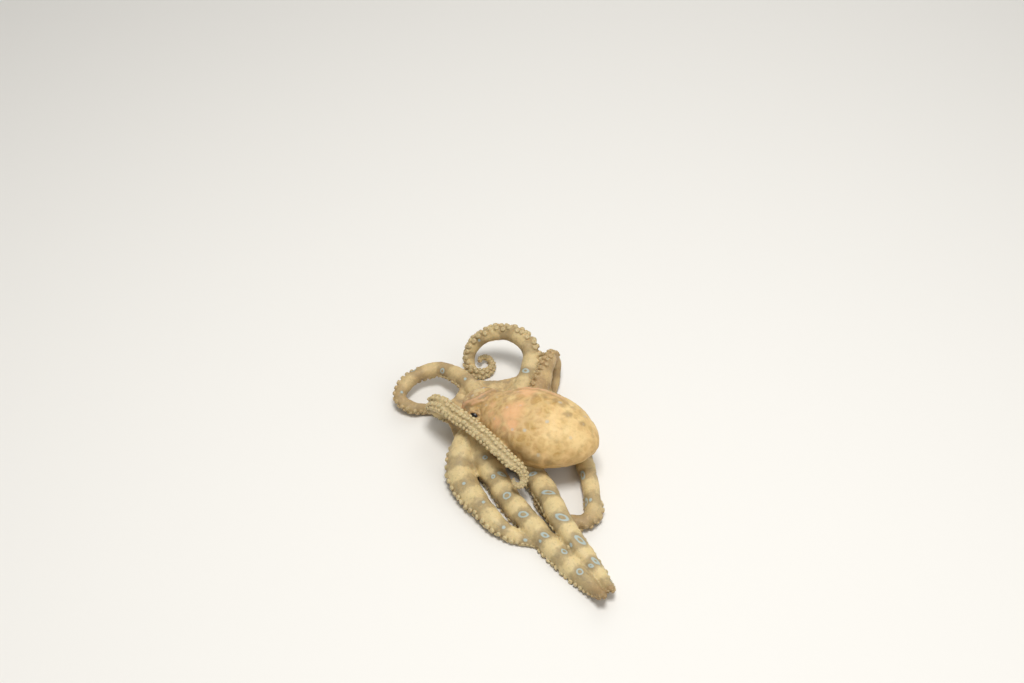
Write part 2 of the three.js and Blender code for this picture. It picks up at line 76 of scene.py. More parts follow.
# The section as shares of the half width: the back, what the sides add, the groove between the suckers as
# (depth, spread in degrees), and the ridge on either side of it as (height, spread, degrees from the back)
SECTION = {"back": 0.92, "sides": 0.095, "groove": (0.3, 24), "ridge": (0.05, 16, 143)}
ARMS = {
    "arm_left_1": {
        "route": [
            (-2.5, -1, 7), (-9.5, 2, 7), (-15.5, 4.6, 8.3), (-19.2, 4, 11.6), (-17.4, 0.6, 15.2),
            (-12.4, -5.2, 16.9), (-6.9, -10.9, 17.8), (-1.9, -16.4, 17.9), (2.7, -21.4, 17.2),
            (6.7, -25.3, 15.5), (10.6, -27.5, 13.5), (11.7, -29, 11.7), (11.2, -31, 10.2),
            (9.3, -31.8, 10.2), (8, -30.8, 11.3), (8.9, -29.6, 12.1),
        ],
        "widths": (7.8, 5.9, 4.9, 1.6),
        "flesh": 0.86,
        "tan": 0.1,
        "rows": (120, 120),
        "sucker_size": 0.95,
        "brown": (0.84, 0.45, 0.45),
        "oral": [(0, DOWN), (0.15, (-0.3, 0, -0.95)), (0.26, (-0.95, 0.2, 0.2)),
                 (0.36, (-0.5, 0.2, 0.85)), (0.46, (0, -0.6, 0.8)), (1, (0, -0.6, 0.8))],
        "bands": (12, 22, 32, 42, 51, 59, 66),
        "rings": [],
        "free_from": 21,
    },
    "arm_left_2": {
        "route": [
            (-2.5, -4.5, 7.5), (-7, -10.5, 9), (-9, -15.5, 7.2), (-9.4, -21, 4.6), (-6.4, -28, 3.4),
            (-1.6, -35.5, 3.3), (4, -42.5, 2.8), (10, -46.5, 2), (15.5, -48.5, 1.3), (19.5, -50.6, 0.8),
        ],
        "widths": (9.6, 9.6, 5, 1.4),
        "flesh": 0.96,
        "tan": 0.1,
        "rows": (119, 119),
        "sucker_size": 1.15,
        "brown": (0.9, 0.3, 0.9),
        "oral": [(0, DOWN), (0.25, (-0.45, -0.35, -0.8)), (1, (-0.45, -0.35, -0.8))],
        "bands": (17, 26.3, 36.2, 47.1, 54.8),
        "rings": [(26.3, -58, 0.32, 0.3), (36.2, -35, 0.35, 0.3), (47.1, -57, 0.35, 0.3),
                  (54.8, -66, 0.3, 0.35)],
        "free_from": 26,
    },
    "arm_left_3": {
        "route": [
            (0, -6, 7.5), (-2, -13, 8), (-0.8, -18, 6), (3, -24, 4.2), (6.7, -31.5, 3.5),
            (12.1, -39.6, 3.5), (17.8, -47.6, 3.3), (23.3, -55, 2.8), (28.6, -61.5, 2.5),
            (32.5, -67, 3.2), (34.8, -71, 5), (35, -73.2, 7.4),
        ],
        "widths": (9, 8, 6.4, 2.4),
        "flesh": 0.97,
        "tan": 0,
        "rows": (128, 112),
        "sucker_size": 1.15,
        "brown": (0.82, 0.9, 0.9),
        "oral": [(0, DOWN), (1, DOWN)],
        "bands": (12, 20.3, 29.4, 38.8, 49.5, 57.8, 66.7),
        "rings": [(12, -11, 0.7, 0.7), (19.9, -31, 0.6, 0.6), (20.6, 18, 1.3, 0.6, 45),
                  (29.4, -21, 1.3, 1.05), (38.8, -22, 1.5, 0.95, 40),
                  (49.4, -8, 1.15, 0.7, 60),
                  (49.8, -54, 0.3, 0.3), (57.8, 13, 0.8, 0.9), (66.7, -9, 1, 1)],
        "free_from": 22,
    },
    "arm_left_4": {
        "route": [
            (4.5, -5.5, 7), (10, -12.5, 5), (14.7, -21, 4.6), (19.4, -31.5, 6), (22.9, -42.5, 7.6),
            (28, -51.2, 5.6), (33, -58.4, 2.9), (36.2, -64, 2.5), (37.8, -68, 4.2), (37.6, -70.2, 6.6),
        ],
        "widths": (8.6, 7.6, 6, 2.4),
        "flesh": 0.97,
        "tan": 0,
        "rows": (122, 112),
        "sucker_size": 1.15,
        "brown": (0.88, 0.9, 0.9),
        "oral": [(0, DOWN), (1, DOWN)],
        "bands": (12, 22.3, 33.4, 44.3, 53.2, 61.8, 70.5),
        "rings": [(22.2, -27, 1.2, 0.6, 25), (33.4, -12, 2.1, 0.8, 35), (44.3, -9, 1.9, 0.95, 40),
                  (53.3, 8, 1.7, 0.8, 65), (52.9, -63, 0.35, 0.4, 0), (61.6, 16, 1.4, 0.65, 65),
                  (62.2, -35, 0.7, 0.45, 50)],
        "free_from": 20,
    },
    "arm_right_1": {
        "route": [
            (-1.5, 4, 8), (-5.5, 13.4, 9), (-10.5, 21, 9), (-18, 26.4, 8), (-25.5, 24.7, 7),
            (-30.5, 19.5, 6), (-32, 14.5, 4.6), (-28, 11.5, 3.2), (-22, 11.6, 2.1), (-17, 10, 1.5),
            (-14.5, 7.5, 1.1),
        ],
        "widths": (7.5, 5.2, 4.8, 2),
        "flesh": 0.95,
        "tan": 0.45,
        "rows": (124, 124),
        "sucker_size": 1.15,
        "brown": (0.9, 0.2, 0.4),
        "oral": [(0, DOWN), (0.4, (-0.35, 0.25, -0.9)), (0.66, (-0.9, -0.1, -0.4)),
                 (0.8, (-0.2, -0.8, -0.55)), (1, DOWN)],
        "bands": (15.3, 27, 38, 48.5),
        "rings": [(15.3, 28, 0.35, 0.35), (27, 63, 0.9, 0.9), (48.2, -47, 0.3, 0.3)],
        "free_from": 20,
    },
    "arm_right_2": {
        "route": [
            (5.5, 4, 8), (10.2, 11, 10), (13.2, 18.5, 12), (14.6, 26, 14.5), (11.6, 33, 16), (5, 36.9, 16),
            (-2, 37.6, 13.5), (-6.3, 36.8, 9.4), (-7.9, 34.2, 5.8), (-7.2, 31.4, 3.1), (-3.9, 29.9, 2.1),
            (-0.8, 31.6, 1.8), (0.1, 35.6, 1.8), (-1.8, 38.4, 2.2), (-4.2, 36.6, 3), (-4.2, 34, 3.6),
        ],
        "widths": (8, 7.2, 3.9, 1.8),
        "flesh": 0.9,
        "tan": 0.3,
        "rows": (118, 118),
        "sucker_size": 1.3,
        "brown": (0.85, 0.35, 0.55),
        "oral": [(0, DOWN), (0.14, (0.6, 0, -0.8)), (0.29, (0.9, -0.3, -0.2)), (0.38, (0.7, 0.5, 0.4)),
                 (0.48, (0, 0.7, 0.7)), (0.62, (-0.9, 0.3, 0.2)), (0.7, (-0.9, -0.2, -0.3)),
                 (0.78, (-0.2, -0.8, 0.4)), (0.86, (0.8, -0.2, 0.4)), (1, (0.4, 0.7, 0.4))],
        "bands": (17, 26.5, 40, 50, 57.7, 65.6, 74, 81),
        "rings": [(17, -42, 1.2, 0.7), (50.1, -93, 0.3, 0.3), (65.6, -15, 0.25, 0.25)],
        "free_from": 24,
    },
    "arm_right_3": {
        "route": [
            (10.5, 3, 8), (15.8, 7.5, 12), (18.4, 13.6, 13.6), (19.9, 21.6, 14.2), (21.6, 27.4, 11.8),
            (23.2, 29, 6.8), (22.8, 24.5, 2.6), (22.2, 18.5, 1.4), (21.4, 14.6, 0.8),
        ],
        "widths": (8, 7, 4.8, 1.4),
        "flesh": 0.92,
        "tan": 0.65,
        "rows": (118, 155),
        "sucker_size": 1.2,
        "brown": (0.9, 0.3, 0.5),
        "oral": [(0, DOWN), (0.15, (-0.7, 0.3, -0.5)), (0.3, (-0.9, 0.1, 0.4)), (0.5, (-0.5, 0.5, 0.7)),
                 (0.65, (-0.2, 0.95, 0.1)), (0.8, (0, 0.3, -0.95)), (1, DOWN)],
        "bands": (12, 20, 29, 38, 46),
        "rings": [],
        "free_from": 26,
    },
    "arm_right_4": {
        "route": [
            (8.5, 1, 7), (17, 7, 4.6), (24.5, 8.5, 3.6), (29.6, 4.5, 3.4), (31.4, -4, 3.2),
            (32.2, -14, 3.1), (33.5, -23, 3.2), (34.2, -31, 3.1), (34, -37.2, 2.9), (31, -40.3, 2.6),
            (26.4, -39.9, 2.3), (21.2, -37.6, 2), (17.3, -33.6, 2), (15.6, -29.6, 2.9),
        ],
        "widths": (8.2, 7.4, 5.5, 2.8),
        "flesh": 0.9,
        "tan": 0.1,
        "rows": (150, 115),
        "sucker_size": 1.2,
        "brown": (0.62, 0.65, 0.9),
        "oral": [(0, DOWN), (0.62, DOWN), (0.74, (0.25, -0.6, -0.75)), (0.84, (0, -0.7, -0.6)),
                 (0.92, (-0.6, -0.6, 0.2)), (1, (-0.9, 0, 0.4))],
        "bands": (13, 23, 33, 43, 52, 62.4, 73, 83),
        "rings": [(52.2, -50, 0.8, 1.5), (63.4, -60, 0.7, 1.3),
                  (63.4, -15, 0.35, 0.4)],
        "free_from": 20,
    },
}
ROUNDED_END = 1.6  # length over which the very tip of an arm is rounded off
# From this far along an arm, or this share of "free_from", the body lies on it and doesn't grow into it
BODY_CLEAR_OF = 8
BODY_CLEAR_SHARE = 0.4
SMALL_RING = 0.6  # a ring with a smaller radius is filled, a plain spot
AWAY_FROM_VIEWER = (0, 0.74, -0.67)  # the arms' rings on this side are placed by rule, one to a band

# ---- Body, as in the solids
MANTLE = {
    "neck": (2.6, -3, 14.2), "tip": (35.9, -20.6, 16), "width": 29, "height": 22,
    "widest_at": 0.4, "pointedness": 0.59, "neck_share": 0.62, "neck_cap": 0.3,
}
HEAD = {"centre": (-1.2, 0.6, 12.6), "radii": (8.6, 7.8, 7.4), "yaw": 155, "roll": 12}
EYE = {
    "forward": 1, "sideways": 6.7, "up": 0.9, "mound_radius": 3.5, "mound_depth": 0.9,
    "mound_stretch": 1.15, "tilt": 38,
}
CROWN = {"centre": (0.5, -1.2, 5.8), "radii": (11, 10, 6.5)}
FUNNEL = {
    "root": (0.5, -9, 12.2), "mouth": (-8.2, -8, 13.4), "root_radius": 3, "mouth_radius": 1.6,
    "bore": 0.95, "bore_depth": 3,
}
# Sheets of web as (arm, how far out along it, its neighbour, how far out, how drawn in the edge is)
WEB_THICKNESS = (1.7, 1.0)  # at the crown and at the free edge
WEBS = [
    ("arm_left_1", 17, "arm_left_2", 17, 0.12),
    ("arm_left_2", 24, "arm_left_3", 20, 0.1),
    ("arm_left_3", 20, "arm_left_4", 18, 0.2),
    ("arm_left_4", 14, "arm_right_4", 13, 0.25),
    ("arm_right_4", 19, "arm_right_3", 26, 0.08),
    ("arm_right_2", 19, "arm_right_1", 18, 0.14),
    ("arm_right_1", 18, "arm_left_1", 17, 0.1),
]

# ---- Markings of the mantle and head, mirrored to the other side: pale blue spots and patches of each
# colour as (centre, radius, strength)
MARKINGS = {
    "spot": [
        ((-1.9, 4.6, 18.9), 0.6, 0.8), ((-5.7, 1, 18.8), 0.6, 0.7), ((2.6, -2.1, 21), 0.55, 0.4),
        ((-1.1, -4, 19.3), 0.5, 0.4), ((2.1, -11.7, 20.4), 0.55, 0.4), ((7.9, -17.8, 21.7), 0.6, 0.6),
        ((11.8, -19.1, 22.7), 0.65, 0.7), ((19.1, -17.2, 24.9), 0.7, 0.75),
        ((26.1, -14.3, 24.5), 0.55, 0.3), ((31, -16.4, 22.4), 0.5, 0.3), ((26.7, -21.8, 22), 0.6, 0.45),
        ((16.3, -25, 17.3), 0.65, 0.6), ((6, -9.3, 23.6), 0.55, 0.35), ((10.5, -9.8, 25.1), 0.5, 0.35),
    ],
    "pink": [
        ((8, -12, 23.9), 4.4, 0.8), ((1, -5.5, 20.8), 2.4, 0.5), ((0.7, -9.4, 20), 2.4, 0.5),
        ((2.7, -13.1, 20.4), 2.8, 0.7), ((7.7, -16.1, 22.6), 3, 0.8), ((5.4, -16.4, 21), 1.6, 0.6),
        ((10.3, -9.6, 25), 2, 0.7), ((6.7, -9.9, 23.8), 2.4, 0.7), ((-8.7, 0.1, 15.7), 1.8, 0.8),
    ],
    "olive": [
        ((11.9, -21.2, 21.3), 3.2, 1), ((13.9, -18.3, 23.9), 2.4, 0.9), ((18.9, -11.9, 25.8), 2.6, 0.7),
        ((17, -7.5, 25.6), 2.8, 1), ((21.3, -8.7, 25.4), 2.4, 0.9), ((3, -2.7, 21.3), 2.6, 0.9),
        ((-3.8, -3.2, 18.5), 2.4, 1), ((-1.1, -1.9, 19.6), 2, 0.7), ((8.7, -21.4, 18.7), 2.6, 1),
        ((22, -25.7, 18), 2.8, 0.8), ((28.2, -25.2, 17), 2.6, 0.7), ((16.8, -23.9, 19.9), 2.4, 0.7),
        ((0, -6.5, 19.5), 1.8, 0.6), ((24, -7, 24), 3.6, 0.9), ((29.5, -11, 22.5), 3.4, 0.9),
        ((32, -15.5, 21.5), 2, 0.7), ((12, -5.5, 24.2), 2.6, 0.8),
    ],
    # Brown lumps along the mantle's top, and painted shade along its lower edge beside the first left arm
    "brown": [
        ((15.7, -5.7, 25.2), 1.5, 0.9), ((18.3, -6.8, 25.4), 1.3, 0.9), ((22.3, -7.9, 25), 1.6, 1),
        ((24.2, -9.7, 24.9), 1.5, 1), ((26.1, -13.9, 24.5), 1.6, 1), ((27.6, -9.8, 23.7), 1.4, 0.8),
        ((30.7, -16.2, 22.7), 1.2, 1), ((7.6, -20.6, 18), 2, 1), ((10, -22.7, 17.4), 2.8, 1),
        ((12.3, -24.1, 16.2), 2.8, 1), ((15.5, -25.2, 15.6), 2.4, 0.9), ((6.1, -19.5, 18.6), 1.7, 0.9),
        ((3.1, -16.3, 18.5), 1.6, 0.8),
        ((33.9, -19, 19.9), 1, 0.7), ((19.8, -25.9, 14.9), 2.4, 0.7), ((10.3, -3.4, 24), 1.4, 0.6),
        ((1.4, -14.6, 17.7), 1.2, 0.9), ((4.7, -18.4, 18.3), 1.4, 0.9), ((-0.6, -11.5, 17.1), 1.1, 0.8),
        ((-1, -7.1, 19), 1, 0.8), ((-2.4, -4.6, 17.9), 1, 0.9), ((-3.8, -4.7, 17.3), 0.9, 0.8),
    ],
    # Pale patches of the mantle; the large ones on its rear and top are painted light, where it is lit
    # most
    "bright": [
        ((23.6, -19.8, 23.6), 6, 1), ((28.8, -22, 21.2), 4.2, 1), ((20.5, -14.7, 25.3), 2.6, 0.9),
        ((8.7, -12.6, 24.2), 2.2, 0.9), ((7.7, -5.3, 23.9), 2, 0.9), ((12, -13.1, 25.1), 2, 0.8),
        ((5.4, -15.4, 21.4), 1.2, 0.7), ((-1.8, -1.9, 19.6), 1, 1), ((20, -22.6, 21.9), 4, 1),
        ((-4.8, -3, 18.1), 0.9, 0.8), ((-3.5, -3, 18.8), 0.9, 0.9), ((-3.1, -6.9, 16), 1, 0.8),
    ],
}
OTHER_SIDE_FROM = 3  # a marking nearer to the middle line than this isn't mirrored
# Raised folds, flushed pink, as (half width at the start, half width at the end, line): from under the
# eye over the head, a lesser one beside it, and one along the mantle's top
FOLDS = [
    (1, 0.45, [(-9, -0.9, 14.2), (-8.5, -0.9, 15.8), (-7.6, -0.9, 16.9), (-6.3, -1, 18), (-5, -1.1, 18.9),
                (-3.6, -0.8, 19.5), (-2.5, -0.1, 19.8), (-1.2, 0.8, 20), (-0.1, 1.9, 19.8),
                (1.2, 2.8, 19.4), (3.5, 2, 19.8), (7, 0.8, 21.4)]),
    (0.6, 0.4, [(-6.2, -2.5, 17.6), (-5.2, -2.4, 18.3), (-4, -2.4, 18.9), (-2.8, -2.2, 19.2),
                (-1.4, -1.8, 19.6), (-0.4, -0.9, 19.8), (0.6, 0.3, 19.8)]),
    (0.5, 0.6, [(8.5, 0.2, 22), (10.7, 0, 22.6), (12.8, -0.3, 22.9), (14.4, -1, 23.4), (16.1, -1.7, 23.7),
                (18.1, -2.6, 24), (20, -3.5, 24.1), (21.4, -4.3, 24.1), (22.7, -5.3, 24.2),
                (24.4, -6.6, 24.1), (25.6, -7.9, 24), (27.5, -9.4, 23.4)]),
]


def linear(hex_colour):
    """An sRGB hex colour as linear red, green, blue and alpha."""
    parts = [int(hex_colour[i:i + 2], 16) / 255 for i in (1, 3, 5)]
    bent = [c / 12.92 if c <= 0.04045 else ((c + 0.055) / 1.055) ** 2.4 for c in parts]
    return (*bent, 1.0)


def add_node(tree, kind, settings=None, inputs=None):
    """A node with its settings, its inputs given as values or as the outputs that feed them."""
    node = tree.nodes.new("ShaderNode" + kind)
    for key, value in (settings or {}).items():
        setattr(node, key, value)
    for key, value in (inputs or {}).items():
        socket = next(s for s in node.inputs if key in (s.identifier, s.name))
        if isinstance(value, bpy.types.NodeSocket):
            tree.links.new(value, socket)
        else:
            socket.default_value = value
    return node


def smooth_step(low, high, value):
    """0 below one value and 1 above another, with a smooth rise or fall between."""
    t = np.clip((value - low) / (high - low), 0, 1)
    return t * t * (3 - 2 * t)


def unit(vectors):
    """The vectors at length 1."""
    return vectors / np.maximum(np.linalg.norm(vectors, axis=-1, keepdims=True), 1e-12)


# ---- Arms


def centripetal(points, steps=24):
    """A smooth curve through the points, as a centripetal Catmull-Rom spline."""
    points = np.array(points, float)
    first = 2 * points[0] - points[1]
    last = 2 * points[-1] - points[-2]
    ends = np.vstack([first, points, last])
    line = []
    for a, b, c, d in zip(ends, ends[1:], ends[2:], ends[3:]):
        gaps = [math.sqrt(np.linalg.norm(q - p)) for p, q in ((a, b), (b, c), (c, d))]
        out = ((b - a) / gaps[0] - (c - a) / (gaps[0] + gaps[1]) + (c - b) / gaps[1]) * gaps[1]
        into = ((c - b) / gaps[1] - (d - b) / (gaps[1] + gaps[2]) + (d - c) / gaps[2]) * gaps[1]
        for t in np.arange(steps) / steps:
            line.append((2 * t**3 - 3 * t**2 + 1) * b + (t**3 - 2 * t**2 + t) * out
                        + (3 * t**2 - 2 * t**3) * c + (t**3 - t**2) * into)
    line.append(points[-1])
    return np.array(line)


def section_radius(degrees):
    """The arm's section as a share of the half width: flatter above, grooved between its suckers."""
    turn = np.abs((np.asarray(degrees) + 180) % 360 - 180)
    depth, spread = SECTION["groove"]
    groove = depth * np.exp(-(((180 - turn) / spread) ** 2))
    rise, spread, middle = SECTION["ridge"]
    ridge = rise * np.exp(-(((turn - middle) / spread) ** 2))
    return SECTION["back"] + SECTION["sides"] * np.sin(np.radians(turn)) ** 2 - groove + ridge


class Arm:
    """The centreline of an arm in metres at even steps, with the directions round it."""

    STEP = 0.25 * MM

    def __init__(self, name):
        spec = ARMS[name]
        self.name = name
        self.spec = spec
        route = np.array(spec["route"], float) - (0, 0, FLOOR_DIP)
        line = centripetal(route) * MM
        walked = np.concatenate([[0], np.cumsum(np.linalg.norm(np.diff(line, axis=0), axis=1))])
        self.length = walked[-1]
        self.walk = np.linspace(0, self.length, int(self.length / self.STEP) + 1)
        self.centre = np.stack([np.interp(self.walk, walked, line[:, k]) for k in range(3)], 1)
        self.tangent = unit(np.gradient(self.centre, axis=0))
        shares = self.walk / self.length
        keys = [share for share, _ in spec["oral"]]
        ways = np.array([way for _, way in spec["oral"]], float)
        oral = np.stack([np.interp(shares, keys, ways[:, k]) for k in range(3)], 1)
        across = np.sum(oral * self.tangent, axis=1, keepdims=True) * self.tangent
        self.away = -unit(oral - across)
        self.side = np.cross(self.away, self.tangent)
        to_tip = (1 - shares) * self.length / (ROUNDED_END * MM)
        self.width = np.interp(shares, WIDTH_SHARES, spec["widths"]) * MM
        flesh = np.interp(shares, (0, FLESH_SHARE), (1, spec["flesh"]))
        self.half = self.width / 2 * flesh * np.sqrt(np.clip(to_tip, 0, 1))

    def at(self, distance, values):
        """One of the arm's arrays at distances along it."""
        place = np.clip(distance / self.length, 0, 1) * (len(self.walk) - 1)
        low = np.minimum(place.astype(int), len(self.walk) - 2)
        t = place - low
        if values.ndim > 1:
            t = t[:, None]
        return values[low] * (1 - t) + values[low + 1] * t

    def surface(self, distance, degrees):
        """Points on the skin, the angle counted from the back of the arm."""
        radius = (self.at(distance, self.half) * section_radius(degrees))[:, None]
        turn = np.radians(degrees)[:, None]
        away = self.at(distance, self.away)
        side = self.at(distance, self.side)
        return self.at(distance, self.centre) + (np.cos(turn) * away + np.sin(turn) * side) * radius

    def locate(self, points, distance):
        """The distance along the arm, the angle and the radius of points, from a first guess."""
        for _ in range(3):
            offset = points - self.at(distance, self.centre)
            distance = distance + np.sum(offset * self.at(distance, self.tangent), axis=1)
            distance = np.clip(distance, 0, self.length)
        offset = points - self.at(distance, self.centre)
        up = np.sum(offset * self.at(distance, self.away), axis=1)
        across = np.sum(offset * self.at(distance, self.side), axis=1)
        return distance, np.degrees(np.arctan2(across, up)), np.hypot(up, across)


# ---- Closed shapes that the skin is made from


def moved(verts, points):
    """Puts vertices at the given points."""
    for vert, point in zip(verts, points):
        vert.co = point


def positions(verts):
    """The vertices' places as an array."""
    return np.array([vert.co[:] for vert in verts])


def as_mesh(shell, name):
    """The mesh that an edited shell stands for, the shell being let go."""
    mesh = bpy.data.meshes.new(name)
    shell.to_mesh(mesh)
    shell.free()
    return mesh


def spin_profile(mesh, verts, steps):
    """A line of points spun once round the upright axis."""
    edges = [mesh.edges.new(pair) for pair in zip(verts, verts[1:])]
    bmesh.ops.spin(mesh, geom=verts + edges, axis=(0, 0, 1), cent=(0, 0, 0), angle=math.tau, steps=steps,
                   use_merge=True, dvec=(0, 0, 0))


def finish_shell(mesh):
    """Closes seams and poles, lays what is under the floor flat on it and turns the faces outwards."""
    bmesh.ops.remove_doubles(mesh, verts=mesh.verts, dist=MERGE_WITHIN)
    for vert in mesh.verts:
        vert.co.z = max(vert.co.z, 0)
    bmesh.ops.recalc_face_normals(mesh, faces=mesh.faces)
    return mesh


def arm_shell(arm, sides=24, step=0.8 * MM):
    """A grid rolled up along the arm's centreline."""
    mesh = bmesh.new()
    rows = int(arm.length / step)
    verts = bmesh.ops.create_grid(mesh, x_segments=sides, y_segments=rows, size=0.5)["verts"]
    flat = positions(verts) + 0.5
    distance = flat[:, 1] * arm.length
    points = arm.surface(distance, flat[:, 0] * 360)
    at_root = flat[:, 1] < 1e-6
    points[at_root] = arm.centre[0]
    moved(verts, points)
    return finish_shell(mesh)


def mantle_radius(u):
    """The mantle's radius as a share of its greatest, from the front to the hind end at 1."""
    cap = np.sqrt(np.clip(1 - ((-u - 1) / MANTLE["neck_cap"]) ** 2, 0, 1)) * MANTLE["neck_share"]
    front = 1 - (1 - MANTLE["neck_share"]) * u**2
    hind = np.clip(1 - u**2, 0, 1) ** MANTLE["pointedness"]
    return np.where(u > 0, hind, np.where(u > -1, front, cap))


def mantle_axes():
    """The mantle's middle, its directions across, to the hind end and up, and its two lengths."""
    neck = np.array(MANTLE["neck"], float) * MM
    axis = np.array(MANTLE["tip"], float) * MM - neck
    length = np.linalg.norm(axis)
    direction = axis / length
    across = unit(np.cross((0, 0, 1), direction))
    front = length * MANTLE["widest_at"]
    turn = np.stack([across, direction, np.cross(direction, across)])
    return neck + direction * front, turn, front, length - front


def mantle_shell():
    """A ball drawn out into the mantle, its poles at the neck and the hind end."""
    mesh = bmesh.new()
    verts = bmesh.ops.create_uvsphere(mesh, u_segments=56, v_segments=44, radius=1)["verts"]
    ball = positions(verts)
    height = np.clip(ball[:, 2], -1, 1)
    middle, turn, front, hind = mantle_axes()
    u = np.where(height > 0, height, height * (1 + MANTLE["neck_cap"]))
    ring = unit(ball[:, :2] + 1e-12)
    radius = mantle_radius(u) * np.where(np.abs(height) > 1 - 1e-6, 0, 1)
    local = np.stack([
        ring[:, 0] * radius * MANTLE["width"] / 2 * MM,
        u * np.where(u > 0, hind, front),
        ring[:, 1] * radius * MANTLE["height"] / 2 * MM,
    ], 1)
    moved(verts, middle + local @ turn)
    return finish_shell(mesh)


def ellipsoid_shell(centre, radii, yaw, segments=40):
    """A ball stretched three ways and turned round the upright."""
    mesh = bmesh.new()
    place = Matrix.Translation(Vector(centre) * MM) @ Matrix.Rotation(math.radians(yaw), 4, "Z")
    place = place @ Matrix.Diagonal((*[r * MM for r in radii], 1))
    bmesh.ops.create_uvsphere(mesh, u_segments=segments, v_segments=segments // 2, radius=1, matrix=place)
    return finish_shell(mesh)


def head_axes():
    """The head's directions ahead, to its left and up."""
    yaw = math.radians(HEAD["yaw"])
    ahead = Vector((math.cos(yaw), math.sin(yaw), 0))
    roll = Matrix.Rotation(math.radians(HEAD["roll"]), 3, ahead)
    return ahead, roll @ Vector((-math.sin(yaw), math.cos(yaw), 0)), roll @ Vector((0, 0, 1))


def on_head(forward, sideways, up):
    """A point in millimetres, from the head's centre."""
    ahead, left, upward = head_axes()
    return Vector(HEAD["centre"]) + ahead * forward + left * sideways + upward * up


def eye_mound_shell(side):
    """The low mound that an eye sits in."""
    depth = EYE["mound_depth"]
    centre = on_head(EYE["forward"] - depth / 2, side * (EYE["sideways"] - depth), EYE["up"] - depth)
    radius = EYE["mound_radius"]
    return ellipsoid_shell(centre, (radius * EYE["mound_stretch"], radius, radius), HEAD["yaw"], 24)


def funnel_shell():
    """A tapered tube with a short bore: a profile of (radius, share of the length), spun."""
    root = Vector(FUNNEL["root"]) * MM
    mouth = Vector(FUNNEL["mouth"]) * MM
    length = (mouth - root).length
    lip = FUNNEL["mouth_radius"]
    profile = [(0, 0), (FUNNEL["root_radius"], 0), (lip + 0.4, 0.6), (lip, 0.93), (lip - 0.2, 1),
               (FUNNEL["bore"], 1)]
    mesh = bmesh.new()
    verts = [mesh.verts.new((r * MM, 0, z * length)) for r, z in profile]
    inner_end = length - FUNNEL["bore_depth"] * MM
    verts.append(mesh.verts.new((FUNNEL["bore"] * MM, 0, inner_end)))
    verts.append(mesh.verts.new((0, 0, inner_end)))
    spin_profile(mesh, verts, 20)
    turn = Vector((0, 0, 1)).rotation_difference(mouth - root).to_matrix().to_4x4()
    bmesh.ops.transform(mesh, matrix=Matrix.Translation(root) @ turn, verts=mesh.verts)
    return finish_shell(mesh)


def web_shell(arm_a, depth_a, arm_b, depth_b, drawn_in):
    """A sheet of skin between two arms, thinner towards its free edge."""
    mesh = bmesh.new()
    bmesh.ops.create_cube(mesh, size=1)
    bmesh.ops.subdivide_edges(mesh, edges=mesh.edges, cuts=11, use_grid_fill=True)
    verts = list(mesh.verts)
    box = positions(verts)
    t = box[:, 0] + 0.5
    s = box[:, 1] + 0.5

    def middle(t, s):
        drawn = s * (1 - drawn_in * 4 * t * (1 - t))
        a = arm_a.at(depth_a * MM * drawn, arm_a.centre)
        b = arm_b.at(depth_b * MM * drawn, arm_b.centre)
        return a + (b - a) * t[:, None]

    nudge = 0.05
    across = middle(np.minimum(1, t + nudge), s) - middle(np.maximum(0, t - nudge), s)
    along = middle(t, np.minimum(1, s + nudge)) - middle(t, np.maximum(0, s - nudge))
    thickness = WEB_THICKNESS[0] + (WEB_THICKNESS[1] - WEB_THICKNESS[0]) * s
    offset = unit(np.cross(across, along)) * (box[:, 2] * thickness * MM)[:, None]
    moved(verts, middle(t, s) + offset)
    return finish_shell(mesh)


def press_out(mesh, arm, start, obstacles, gap):
    """Flattens an arm, from a distance along it, where it lies against other flesh."""
    verts = list(mesh.verts)
    points = positions(verts)
    nearest = np.argmin(((points[:, None] - arm.centre[None, ::4]) ** 2).sum(2), axis=1)
    distance, _, _ = arm.locate(points, arm.walk[::4][nearest])
    for vert, along in zip(verts, distance):
        if along < start * MM:
            continue
        for tree in obstacles:
            place, normal, _, _ = tree.find_nearest(vert.co, PRESS_REACH)
            if place is None:
                continue
            height = (vert.co - place).dot(normal)
            if height < gap:
                vert.co = place + normal * gap


def all_shells(gap):
    """The closed shapes that the skin is made from, as (name, shell) pairs."""
    arms = {name: Arm(name) for name in ARMS}
    head_shells = [("head", ellipsoid_shell(HEAD["centre"], HEAD["radii"], HEAD["yaw"])),
                   ("head", eye_mound_shell(1)), ("head", eye_mound_shell(-1))]
    body = [("mantle", mantle_shell()), *head_shells]
    body_trees = [BVHTree.FromBMesh(mesh) for _, mesh in body]
    arm_shells = {name: arm_shell(arm) for name, arm in arms.items()}
    earlier = []
    for name, mesh in arm_shells.items():
        free_from = ARMS[name]["free_from"]
        press_out(mesh, arms[name], max(BODY_CLEAR_OF, free_from * BODY_CLEAR_SHARE), body_trees, gap)
        press_out(mesh, arms[name], free_from, earlier, gap)
        earlier.append(BVHTree.FromBMesh(mesh))
    rest = [("crown", ellipsoid_shell(CROWN["centre"], CROWN["radii"], 0)), ("funnel", funnel_shell())]
    webs = [("web", web_shell(arms[a], da, arms[b], db, drawn)) for a, da, b, db, drawn in WEBS]
    return arms, body + rest + webs + list(arm_shells.items())


# ---- One skin over all of them


def mesh_of(shells):
    """All the shells in one mesh."""
    joined = bmesh.new()
    for _, shell in shells:
        part = bpy.data.meshes.new("part")
        shell.to_mesh(part)
        joined.from_mesh(part)
        bpy.data.meshes.remove(part)
    return as_mesh(joined, "octopus_skin")


def shown(mesh, name):
    """An object for a mesh, in the scene."""
    piece = bpy.data.objects.new(name, mesh)
    bpy.context.scene.collection.objects.link(piece)
    return piece


